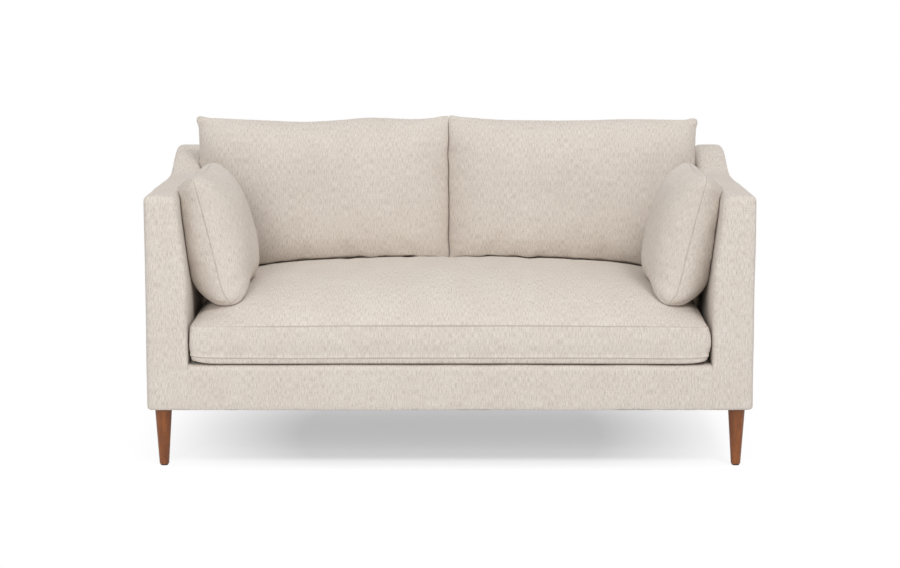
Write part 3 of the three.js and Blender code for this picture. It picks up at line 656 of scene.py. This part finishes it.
# Turned pieces
def turned(name, profile, x, y, slot, facets, node):
    angles = 2 * math.pi * np.arange(facets + 1) / facets
    radius, height = np.array(profile).T[..., None]
    rings = np.broadcast_arrays(x + radius * np.cos(angles[:-1]), y + radius * np.sin(angles[:-1]), height)
    skin = Skin()
    ids = skin.add(np.stack(rings, -1))
    along, around = np.meshgrid(height, angles, indexing="ij")
    skin.panel(np.hstack([ids, ids[:, :1]]), around, along, 1.0, True)
    piece = skin.build(name)
    work = bmesh.new()
    work.from_mesh(piece.data)
    bmesh.ops.holes_fill(work, edges=[e for e in work.edges if e.is_boundary], sides=facets + 1)
    bmesh.ops.recalc_face_normals(work, faces=work.faces)
    work.to_mesh(piece.data)
    work.free()
    dress(piece, slot, "frame", node)


def legs():
    foot = 0.0033
    top = UNDERSIDE - JOIN_GAP
    slope = (0.0225 - 0.0125) / (top - foot)
    heights = [foot + 0.0018, foot + 0.004, 0.03, 0.06, 0.09, 0.12, top - 0.004, top - 0.0012]
    profile = [(0.0106, foot), (0.0118, foot + 0.0005)]
    profile += [(0.0125 + slope * (h - foot), h) for h in heights]
    profile += [(0.0221, top), (0.0200, top)]
    glide = [(0.0085, 0.0), (0.0096, 0.0004), (0.0100, 0.0012), (0.0100, 0.0028), (0.0097, 0.0030)]
    for side, x in (("left", -LEG_X), ("right", LEG_X)):
        for end, y in (("front", -HALF_DEPTH + LEG_INSET), ("rear", HALF_DEPTH - LEG_INSET)):
            which = f"{side}_{end}"
            turned(f"{which}_turned_leg", profile, x, y, "leg_wood", 48, f"{which}_leg")
            turned(f"{which}_foot_glide", glide, x, y, "glide_plastic", 32, f"{which}_glide")


# Cloth: inflates a cushion a little between its pinned seams, then keeps only what the real one shows
CLOTH = {
    "quality": 4,
    "mass": 0.3,
    "tension_stiffness": 15,
    "compression_stiffness": 10,
    "shear_stiffness": 5,
    "bending_stiffness": 0.8,
    "vertex_group_mass": "pin",
    "shrink_min": -0.03,
    "use_pressure": True,
    "uniform_pressure_force": 3.0,
}


def inflated(piece, pins, swell_cap, swell_share, crease_share):
    mesh = piece.data
    count = len(mesh.vertices)
    before = values(mesh.vertices, "co", 3)
    group = piece.vertex_groups.new(name="pin")
    for weight in np.unique(np.round(pins, 1)):
        if weight > 0:
            chosen = np.nonzero(np.round(pins, 1) == weight)[0]
            group.add(chosen.tolist(), float(weight), "REPLACE")
    cloth = piece.modifiers.new("cloth", "CLOTH")
    for name, value in CLOTH.items():
        setattr(cloth.settings, name, value)
    cloth.settings.effector_weights.gravity = 0
    cloth.collision_settings.use_collision = False
    for number in range(1, 21):
        scene.frame_set(number)
    done = piece.evaluated_get(bpy.context.evaluated_depsgraph_get())
    move = values(done.data.vertices, "co", 3) - before
    piece.modifiers.remove(cloth)
    piece.vertex_groups.clear()
    scene.frame_set(1)
    a, b = values(mesh.edges, "vertices", 2, int).T
    degree = np.bincount(a, minlength=count) + np.bincount(b, minlength=count)
    broad = move.copy()
    for _ in range(60):
        total = [np.bincount(a, v[b], count) + np.bincount(b, v[a], count) for v in broad.T]
        broad = np.stack(total, 1) / degree[:, None]
    fine = move - broad
    size = np.linalg.norm(broad, axis=1, keepdims=True)
    broad *= np.minimum(1, swell_cap / np.maximum(size, 1e-9))
    return before + (1 - pins)[:, None] * (broad * swell_share + fine * crease_share)


# Places along a crowned profile from seam to seam, by their distance from the seam, close by it at first
SEAM_ROWS = (0, 0.0013, 0.0027, 0.0055, 0.010, 0.017)


def profile_lines(half, crown, side_power, edge_power, step):
    u = 1 - np.linspace(0, 1, 6000) ** 3
    x = half * u
    t = crown * np.maximum(0, 1 - u**side_power) ** edge_power
    along = np.concatenate([[0], np.cumsum(np.hypot(np.diff(x), np.diff(t)))])
    total = along[-1]
    first = SEAM_ROWS[-1]
    places = np.linspace(first, total, round((total - first) / step) + 1)[1:]
    places = np.concatenate([SEAM_ROWS, places])
    shares = np.interp(places, along, u)
    shares[0] = 1
    shares[-1] = 0
    shares = np.concatenate([shares, -shares[-2::-1]])
    distance = np.concatenate([total - places, places[-2::-1] - total])
    return shares, distance


# A knife-edged cushion: two crowned faces that meet in a seam, in its own upright frame
def knife(width, height, crowns, fullness, corner, step, seed, drawn):
    face, edge = fullness
    half = np.array([width, height]) / 2
    (u, su), (v, sv) = (profile_lines(h, max(crowns), face, edge, step) for h in half)
    U, V = np.meshgrid(u, v, indexing="ij")
    across, along = np.meshgrid(su, sv, indexing="ij")
    x, z = round_plan(U * half[0], V * half[1], -half, half, np.where(U < 0, *corner))
    x, z = drawn(x / half[0], z / half[1])
    full = np.maximum(0, (1 - np.abs(U) ** face) * (1 - np.abs(V) ** face)) ** edge
    skin = Skin()
    front = skin.add(np.stack([x, -crowns[0] * full, z], -1))
    rear = front.copy()
    inner = (slice(1, -1), slice(1, -1))
    rear[inner] = skin.add(np.stack([x, crowns[1] * full, z], -1)[inner])
    skin.panel(front, across, along, seed)
    skin.panel(rear, across, along, seed + 5, True)
    # Each point's distance from the seam, and its place along it
    skin.edge = np.zeros(len(skin.points))
    skin.around = np.zeros(len(skin.points))
    for ids in (front, rear):
        skin.edge[ids] = np.minimum(np.abs(su[0]) - np.abs(across), np.abs(sv[0]) - np.abs(along))
        skin.around[ids] = np.where(np.abs(U) > np.abs(V), along, across)
    # Painted shade darkening the cloth along the seam, where its groove lies
    skin.seam = bell(skin.edge, 0.0016)
    return skin


# A plain sewn seam: a fine valley between two low lips, with the small puckers of its stitches
def sewn(points, normals, edge, around, seed):
    depth = 0.0016
    pucker = 0.0007
    valley = bell(edge, 0.0014)
    lip = bell(edge - 0.0046, 0.0024)
    wobble = 0.6 + 0.4 * np.sin(around * 2 * math.pi / 0.023 + 3 * ripple(points, 0.2, seed))
    near = bell(edge, 0.011) * (1 - valley)
    amount = -depth * valley + 0.4 * depth * lip - pucker * near * wobble
    return points + normals * amount[:, None]


# Moves a piece's points and gives its new normals
def moved(piece, points):
    piece.data.vertices.foreach_set("co", points.ravel())
    piece.data.update()
    return values(piece.data.vertices, "normal", 3)


def turn(points, axis, degrees):
    a, b = [(1, 2), (2, 0), (0, 1)][axis]
    c = math.cos(math.radians(degrees))
    s = math.sin(math.radians(degrees))
    result = points.copy()
    result[:, a] = points[:, a] * c - points[:, b] * s
    result[:, b] = points[:, a] * s + points[:, b] * c
    return result


def soft_max(a, b, reach):
    h = np.clip(0.5 + 0.5 * (a - b) / reach, 0, 1)
    return b + (a - b) * h + reach * h * (1 - h)


def soft_min(a, b, reach):
    return -soft_max(-a, -b, reach)


# Keep a cushion of the right side off the seat, the back and the arm, and how softly they do so
SEAT_SOFT = 0.004
SIDE_SOFT = 0.003


def off_seat(points, seat_height):
    depth = points[:, 1] + HALF_DEPTH
    on_seat = (np.abs(points[:, 0]) < SEAT_HALF_X + 0.002) & (depth > SEAT_FRONT)
    floor = np.where(on_seat, seat_height(points[:, 0], depth) + 0.0004, -1)
    points[:, 2] = np.where(on_seat, soft_max(points[:, 2], floor, SEAT_SOFT), points[:, 2])
    return points


# What the seat pushes up at a pillow's front end spreads sideways instead
def spread_on_seat(points, seat_height):
    depth = points[:, 1] + HALF_DEPTH
    middle = HALF_WIDTH - 0.178
    floor = seat_height(points[:, 0], depth)
    low = smooth(1 - (points[:, 2] - floor) / 0.07) * (1 - smooth((depth - 0.10) / 0.16))
    points[:, 0] -= 0.010 * low * smooth((middle - points[:, 0]) / 0.04)
    return off_seat(points, seat_height)


def off_back(points):
    limit = from_front(back_inner_depth(points[:, 2])) - 0.0006
    over = smooth((points[:, 2] - BACK_TOP + 0.010) / 0.04)
    points[:, 1] = soft_min(points[:, 1], limit + over * 0.08, SIDE_SOFT)
    return points


def off_arm_side(points):
    depth = points[:, 1] + HALF_DEPTH
    over = smooth((points[:, 2] - arm_top_at(depth) + 0.012) / 0.034)
    limit = arm_inner_at(points[:, 2]) - 0.0008 + over * 0.05
    points[:, 0] = soft_min(points[:, 0], limit, SIDE_SOFT)
    return points


def off_arm(points):
    depth = points[:, 1] + HALF_DEPTH
    inner = arm_inner_at(points[:, 2], depth)
    middle = (inner + HALF_WIDTH) / 2
    half = (HALF_WIDTH - inner) / 2
    out_x = np.abs(points[:, 0] - middle) - (half - ARM_RIM)
    out_z = points[:, 2] - (arm_top_at(depth) - ARM_RIM)
    beside = np.hypot(np.maximum(out_x, 0), np.maximum(out_z, 0))
    distance = beside + np.minimum(np.maximum(out_x, out_z), 0) - ARM_RIM
    push = np.maximum(0, 0.0008 - distance)
    corner = (out_x > 0) & (out_z > 0)
    level = (out_x > out_z) & ~corner
    length = np.maximum(beside, 1e-9)
    side = np.sign(points[:, 0] - middle)
    points[:, 0] += push * np.where(corner, side * out_x / length, np.where(level, side, 0))
    points[:, 2] += push * np.where(corner, out_z / length, np.where(level, 0, 1))
    return points


# Presses a loose cushion of the right side into place, mirrors it for the left, inflates it, and gives it
# its unevenness, along one axis and along its seam, and its sewn seam
def loose(kind, side, skin, pressed, seed, waves, axis, cap, crease, seam_wave=0):
    name = f"left_{kind}" if side < 0 else f"right_{kind}"
    skin.points = pressed(skin.points)
    if side < 0:
        skin.points[:, 0] *= -1
        skin.quads = [quads[:, ::-1] for quads in skin.quads]
        skin.weave = [weave[:, ::-1] for weave in skin.weave]
    piece = skin.build(f"{name}_cloth")
    points = skin.points.copy()
    pins = np.clip(1.3 - skin.edge / 0.010, 0, 1)
    points = inflated(piece, pins, cap, 0.3, crease)
    (broad, reach), (fine, short) = waves
    uneven = broad * ripple(points, reach, seed) + fine * ripple(points, short, seed + 1)
    points[:, axis] += uneven * (1 - pins)
    points[:, 2] += seam_wave * ripple(points, 0.22, seed + 2) * pins
    points[:, 0] *= side
    points = pressed(points)
    points[:, 0] *= side
    moved(piece, sewn(points, moved(piece, points), skin.edge, skin.around, seed + 3))
    subdivided(piece)
    dress(piece, "upholstery_cloth", name, name)
    return piece


# The border of a grid, once round
def border(ids):
    return np.concatenate([ids[:-1, 0], ids[-1, :-1], ids[:0:-1, -1], ids[0, :0:-1]])


# Seat cushion: a crowned top, a boxed border between two seams, and a flat bottom
def seat_form():
    near = (0.0013, 0.0027, 0.0055, 0.010, 0.016)
    middle_y = (SEAT_FRONT + SEAT_REAR) / 2
    half = half_x, half_y = np.array([SEAT_HALF_X, (SEAT_REAR - SEAT_FRONT) / 2])
    a = lines(-half_x, half_x, 0.0115, near)
    b = lines(-half_y, half_y, 0.0115, near)
    A, B = np.meshgrid(a, b, indexing="ij")
    x, y = round_plan(A, B, -half, half, 0.020)
    u = x / half_x
    v = y / half_y
    draw = 0.004
    x = x - draw * u**3 * (1 - v * v) - np.where(u > 0, SEAT_SIDE_IN, SEAT_SIDE_IN / 3) * u**7
    y = y - draw * v**3 * (1 - u * u)
    depth = middle_y + y
    top = np.stack([x, from_front(depth), seat_top_at(x, depth)], -1)
    across = np.cumsum(np.linalg.norm(np.diff(top, axis=0, prepend=top[:1]), axis=2), axis=0)
    along = np.cumsum(np.linalg.norm(np.diff(top, axis=1, prepend=top[:, :1]), axis=2), axis=1)
    across -= across[len(a) // 2]
    skin = Skin()
    upper = skin.add(top)
    skin.panel(upper, across, along, 41.0)

    ring = border(upper)
    outline = skin.points[ring][:, :2]
    centre = np.array([0, from_front(middle_y)])
    shape = (outline - centre) / half
    out = shape / np.linalg.norm(shape, axis=1, keepdims=True)
    corner = half.sum() - np.abs(outline - centre).sum(axis=1)
    side = np.clip(shape[:, 0] * 1.012, -1, 1)
    spread = np.where(side > 0, SEAT_SIDE_IN, SEAT_SIDE_IN / 3) * side**7
    spread = np.column_stack([spread, np.zeros(len(ring))])
    lift = 0.009 * np.exp(-corner / 0.020)
    low_lift = 0.015 * np.exp(-corner / 0.018)
    turned_in = 0.002 * np.exp(-corner / 0.020)
    rise = SEAT_SEAM_TOP - SEAT_SEAM_LOW
    downs = [0, 0.0013, 0.0027, 0.0055, 0.010, 0.018, 0.027, 0.036, 0.045, 0.054, 0.063, 0.072]
    downs += [rise - 0.010, rise - 0.0055, rise - 0.0027, rise - 0.0013, rise]
    rows = [ring]
    for down in downs[1:]:
        bulge = 0.0025 * math.sin(math.pi * down / rise) - turned_in * smooth(2 * down / rise - 1)
        z = SEAT_SEAM_TOP - down + lift * (down / rise) ** 2
        fuller = math.sin(math.pi * min(0.88, down / rise)) ** 0.6
        rows.append(skin.add(np.column_stack([outline + out * bulge[:, None] + spread * fuller, z])))
    # The roll from the low seam to the bottom: how far in, its share of the way down, the seam's distance
    roll = ((-0.0002, 0.10, 0.0014), (0.0010, 0.40, 0.0034), (0.0028, 0.72, 0.006),
            (0.0058, 0.99, 0.009), (0.0120, 0.96, 0.014), (0.0220, 1, 0.02))
    for tuck, share, _ in roll:
        z = (SEAT_SEAM_LOW + lift) * (1 - share) + (SEAT_FLOOR + low_lift) * share
        inset = out * (tuck + turned_in)[:, None] - spread * fuller * (1 - share)
        rows.append(skin.add(np.column_stack([outline - inset, z])))
    rows = np.array(rows)
    steps = np.linalg.norm(np.diff(outline, axis=0, append=outline[:1]), axis=1)
    run = np.concatenate([[0], np.cumsum(steps)])
    heights, runs = np.meshgrid(skin.points[rows[:, 0], 2], run, indexing="ij")
    skin.panel(np.column_stack([rows, rows[:, 0]]), runs, heights, 43.0)

    # The bottom shares the outline of the last row
    flat = top.copy()
    flat[..., :2] = centre + (flat[..., :2] - centre) * (1 - 0.024 / half)
    corner = half.sum() - np.abs(flat[..., :2] - centre).sum(axis=-1)
    flat[..., 2] = SEAT_FLOOR + 0.015 * np.exp(-np.maximum(corner - 0.044, 0) / 0.018)
    inner = (slice(1, -1), slice(1, -1))
    lower = upper.copy()
    lower[inner] = skin.add(flat[inner])
    lower.flat[border(np.arange(lower.size).reshape(lower.shape))] = rows[-1]
    skin.panel(lower, across, along, 47.0, True)

    # For each point, its distance from the nearest seam and its place along that seam
    skin.edge = np.ones(len(skin.points))
    skin.around = np.zeros(len(skin.points))
    skin.edge[upper] = np.minimum(half_x - np.abs(A), half_y - np.abs(B))
    skin.around[upper] = np.where(np.abs(A / half_x) > np.abs(B / half_y), B, A)
    gaps = [min(down, rise - down) for down in downs] + [gap for _, _, gap in roll]
    skin.edge[rows] = np.array(gaps)[:, None]
    skin.around[rows] = run[:-1]
    skin.upper = upper
    skin.lower = lower
    skin.border = rows[: len(downs)]
    skin.under = rows[len(downs) :]
    skin.lines = a, middle_y + b
    return skin


# How high the dressed seat's top is at a place
def height_of(skin, points):
    xs, depths = skin.lines
    z = points[skin.upper][..., 2]

    def height(x, depth):
        rows = np.interp(x, xs, np.arange(len(xs)))
        cols = np.interp(depth, depths, np.arange(len(depths)))
        i = np.minimum(rows.astype(int), len(xs) - 2)
        j = np.minimum(cols.astype(int), len(depths) - 2)
        s = rows - i
        t = cols - j
        low_side = z[i, j] * (1 - t) + z[i, j + 1] * t
        high_side = z[i + 1, j] * (1 - t) + z[i + 1, j + 1] * t
        return low_side * (1 - s) + high_side * s

    return height


def seat_cushion():
    skin = seat_form()
    edge = skin.edge
    # Painted shade darkening the cloth along the seams, where their grooves lie; the low seam lies in the
    # roll's shade and shows less, so its painted shade is fainter, and the roll's too
    low_seam = skin.border[-4:]
    skin.seam = bell(edge, 0.0011)
    skin.seam[low_seam] *= 0.35
    skin.seam[skin.under] *= 0.35
    piece = skin.build("seat_cushion_cloth")
    points = skin.points.copy()
    pins = np.clip(1.25 - edge / 0.012, 0, 1)
    pins[skin.lower] = 1
    pins[skin.under] = 1
    points = inflated(piece, pins, swell_cap=0.006, swell_share=0.25, crease_share=0.35)
    ahead = 1 - 0.7 * smooth((points[:, 1] + HALF_DEPTH - 0.40) / 0.16)
    uneven = (0.0016 * ripple(points, 0.30, 3) + 0.0006 * ripple(points, 0.10, 4)) * ahead * (1 - pins)
    points[skin.upper, 2] += uneven[skin.upper]
    seam_wave = 0.0009 * ripple(points, 0.35, 8) * bell(edge, 0.02)
    points[skin.border, 2] += seam_wave[skin.border]
    normals = moved(piece, points)
    points = sewn(points, normals, edge, skin.around, 6)
    for row, lip in zip(low_seam, (0.0010, 0.0022, 0.0018, 0.0004)):
        points[row] += normals[row] * [lip, lip, 0]
    points[:, 0] = np.clip(points[:, 0], -ARM_INNER_SEAT + 0.0004, ARM_INNER_SEAT - 0.0004)
    points[:, 2] = np.maximum(points[:, 2], SEAT_FLOOR)
    moved(piece, points)
    subdivided(piece)
    dress(piece, "upholstery_cloth", "seat_cushion", "seat_cushion")
    return height_of(skin, points)


# How many millimetres a back cushion's top edge sags, at distances in from its outer corner
LEFT_SAG = (
    (0, 0), (0.010, 0.3), (0.018, 1.2), (0.029, 4.2), (0.040, 6.2), (0.076, 7.4), (0.15, 11.3),
    (0.224, 14.3), (0.274, 16.6), (0.323, 17.6), (0.372, 15.3), (0.42, 11.8), (0.471, 6.8), (0.495, 5.6),
    (0.52, 6), (0.569, 7.6), (0.619, 9.6), (0.643, 9.2), (0.668, 8.2), (0.693, 5.4), (0.71, 1.2), (0.74, 0),
)
RIGHT_SAG = (
    (0, 7), (0.018, 7), (0.024, 9), (0.032, 11), (0.047, 12.2), (0.096, 11.2), (0.15, 10.4),
    (0.20, 9.8), (0.25, 10.8), (0.30, 12), (0.35, 12.8), (0.40, 13.7), (0.45, 13.2), (0.50, 12.6),
    (0.55, 11.8), (0.59, 10), (0.62, 8.2), (0.65, 5.4), (0.68, 3.4), (0.70, 0.6), (0.712, -2), (0.74, -2),
)
# The two back cushions press on each other here
CONTACT = -0.0030


def contact_at(points):
    behind = points[:, 1] - from_front(0.6955) - 0.0875 * (points[:, 2] - 0.6405)
    return CONTACT + 0.0014 * ripple(points * [0, 0, 1], 0.07, 90, 4) + 0.12 * np.clip(behind, -0.03, 0.03)


def back_cushion(side, seat_height):
    left = side < 0
    height = 0.470
    recline = 5
    start, end = (-CONTACT, 0.7312) if left else (CONTACT, 0.7140)
    squeeze = 0.006
    neck = 0.0062 if left else 0.0042
    start -= squeeze
    width = end - start
    places = np.linspace(0, 0.74, 371)
    dip = np.pad(np.interp(places, *np.array(LEFT_SAG if left else RIGHT_SAG).T), 3, "edge")
    dip = np.convolve(dip, np.hanning(9)[1:-1] / 4, "valid") / 1000

    def drawn(U, V):
        inward = (1 - U) * width / 2
        down = (1 - V) * height / 2
        ear = neck * (1 - bell(np.maximum(down - 0.013, 0), 0.012)) + 0.003 * (1 - np.exp(-down / 0.08))
        side_in = (ear + 0.003 * (1 - V * V)) * np.maximum(U, 0) ** 3
        side_in -= squeeze * bell(down, 0.012) * np.maximum(-U, 0) ** 3
        top_in = np.interp(inward, places, dip) * np.maximum(V, 0) ** 3
        low_in = 0.008 * (1 - U * U) * np.maximum(-V, 0) ** 3
        return U * width / 2 - side_in, V * height / 2 - top_in + low_in

    def pressed(points):
        points[:, 0] = soft_max(points[:, 0], side * contact_at(points) + 0.0002, 0.0015)
        return off_arm_side(off_back(off_seat(points, seat_height)))

    crowns = (0.100, 0.100)
    corner = (0.005, 0.015)
    skin = knife(width, height, crowns, (3.2, 0.62), corner, 0.0095, 53.0 if left else 61.0, drawn)
    angle = math.radians(recline)
    skin.points = turn(skin.points, 0, -recline) + [
        (start + end) / 2,
        from_front(0.716 - math.sin(angle) * height / 2),
        SEAT_PEAK - 0.0775 + math.cos(angle) * height / 2 + 0.0006,
    ]
    waves = ((0.0022, 0.26), (0.0006, 0.08))
    seed = 20 if left else 30
    piece = loose("back_cushion", side, skin, pressed, seed, waves, 1, 0.008, 0.4, 0.0006)


# The pillows' slant against the arms, and their turn towards the back
PILLOW_LEAN = 13.6
PILLOW_TURN = 2.1


def side_pillow(side, seat_height):
    length, height, draw_in = 0.420, 0.366, 0.014

    def drawn(U, V):
        x = U * (length / 2 - draw_in * U * U * (1 - V * V))
        z = V * (height / 2 - draw_in * V * V * (1 - U * U))
        return x, z

    def pressed(points):
        return off_arm(spread_on_seat(points, seat_height))

    crowns = (0.089, 0.110)
    corner = (0.046, 0.038)
    skin = knife(length, height, crowns, (2.5, 0.46), corner, 0.0085, 71.0 if side < 0 else 83.0, drawn)
    # Fainter painted seam shade on the pillows
    skin.seam *= 0.6
    points = turn(turn(turn(skin.points, 2, -90), 1, PILLOW_LEAN), 2, PILLOW_TURN)
    skin.points = points + [HALF_WIDTH - 0.170, from_front(0.716 - 0.420), SEAT_PEAK + 0.1067]
    waves = ((0.0013, 0.20), (0.0003, 0.07))
    seed = 50 if side < 0 else 60
    piece = loose("side_pillow", side, skin, pressed, seed, waves, 0, 0.006, 0.35)


# One for the rays that the camera sees, whole or in a polish or a glass
def seen(graph):
    kinds = ("Camera", "Glossy", "Transmission")
    plain, polish, glass = (graph.node("LightPath", {}, f"Is {kind} Ray") for kind in kinds)
    return graph.math("MINIMUM", graph.math("ADD", graph.math("ADD", plain, polish), glass), 1.0)


def stage():
    graph = material("studio_floor")
    diffuse = graph.node("BsdfDiffuse", {"Color": (0.80, 0.80, 0.80, 1)})
    glow = graph.node("Emission", {"Strength": graph.math("MULTIPLY", seen(graph), FLOOR_GLOW)})
    floor = graph.node("AddShader", {0: diffuse, 1: glow})
    # Away from the object the floor turns into the white backdrop
    place = graph.scaled(graph.place(), (1, 0.6, 1))
    length = graph.node("VectorMath", {0: place}, "Value", operation="LENGTH")
    away = graph.math("MULTIPLY", graph.between(length, 0.42, 0.90), seen(graph))
    graph.put(graph.node("MixShader", {0: away, 1: floor, 2: graph.node("Emission", {})}), graph.end)
    mesh = bpy.data.meshes.new("studio_floor")
    mesh.from_pydata([(-30, -30, 0), (30, -30, 0), (30, 30, 0), (-30, 30, 0)], [], [(0, 1, 2, 3)])
    mesh.materials.append(graph.owner)
    added("studio_floor", mesh)

    scene.world = bpy.data.worlds.new("studio")
    graph = Graph(scene.world, "OutputWorld")
    up = graph.node("SeparateXYZ", {0: graph.place("Generated")}, "Z")
    strength = graph.between(seen(graph), 0.0, 1.0, graph.between(up, 0.0, 0.9, *AMBIENT), 1.0)
    white = {"Color": (1, 1, 1, 1), "Strength": strength}
    graph.put(graph.node("Background", white), graph.end)


def lamp(name, place, target, size, power):
    data = bpy.data.lights.new(name, "AREA")
    data.shape = "SQUARE"
    data.size = size
    data.energy = power
    holder = added(name, data)
    holder.location = place
    holder.rotation_euler = (Vector(target) - Vector(place)).to_track_quat("-Z", "Y").to_euler()


# Floor, backdrop, lamps and camera
stage()
lamp("key", (4.1, -7.9, 10.8), (0, 0, 0.4), 3.0, 496)
lamp("fill", (-1.7, -6.6, 3.1), (0, 0, 0.4), 2.4, 118)
lens = bpy.data.cameras.new("camera")
lens.lens = 100
lens.sensor_width = 36
lens.clip_end = 100
scene.camera = added("camera", lens)
scene.camera.location = (0, -6.918, 1.471)
scene.camera.rotation_euler = (math.radians(81.4), 0, 0)
scene.view_settings.view_transform = "Standard"

record_slots = {p["node"]: p["material_slot"] for p in frame["record"]["subparts"]}
for node, holder in frame["nodes"].items():
    holder.data.materials.clear()
    holder.data.materials.append(MATERIALS[record_slots[node]])

arm_cover(-1)
arm_cover(1)
front_rail_cover()
back_cover()
deck()
dust_cover()
legs()
seat_height = seat_cushion()
for side in (-1, 1):
    back_cushion(side, seat_height)
    side_pillow(side, seat_height)
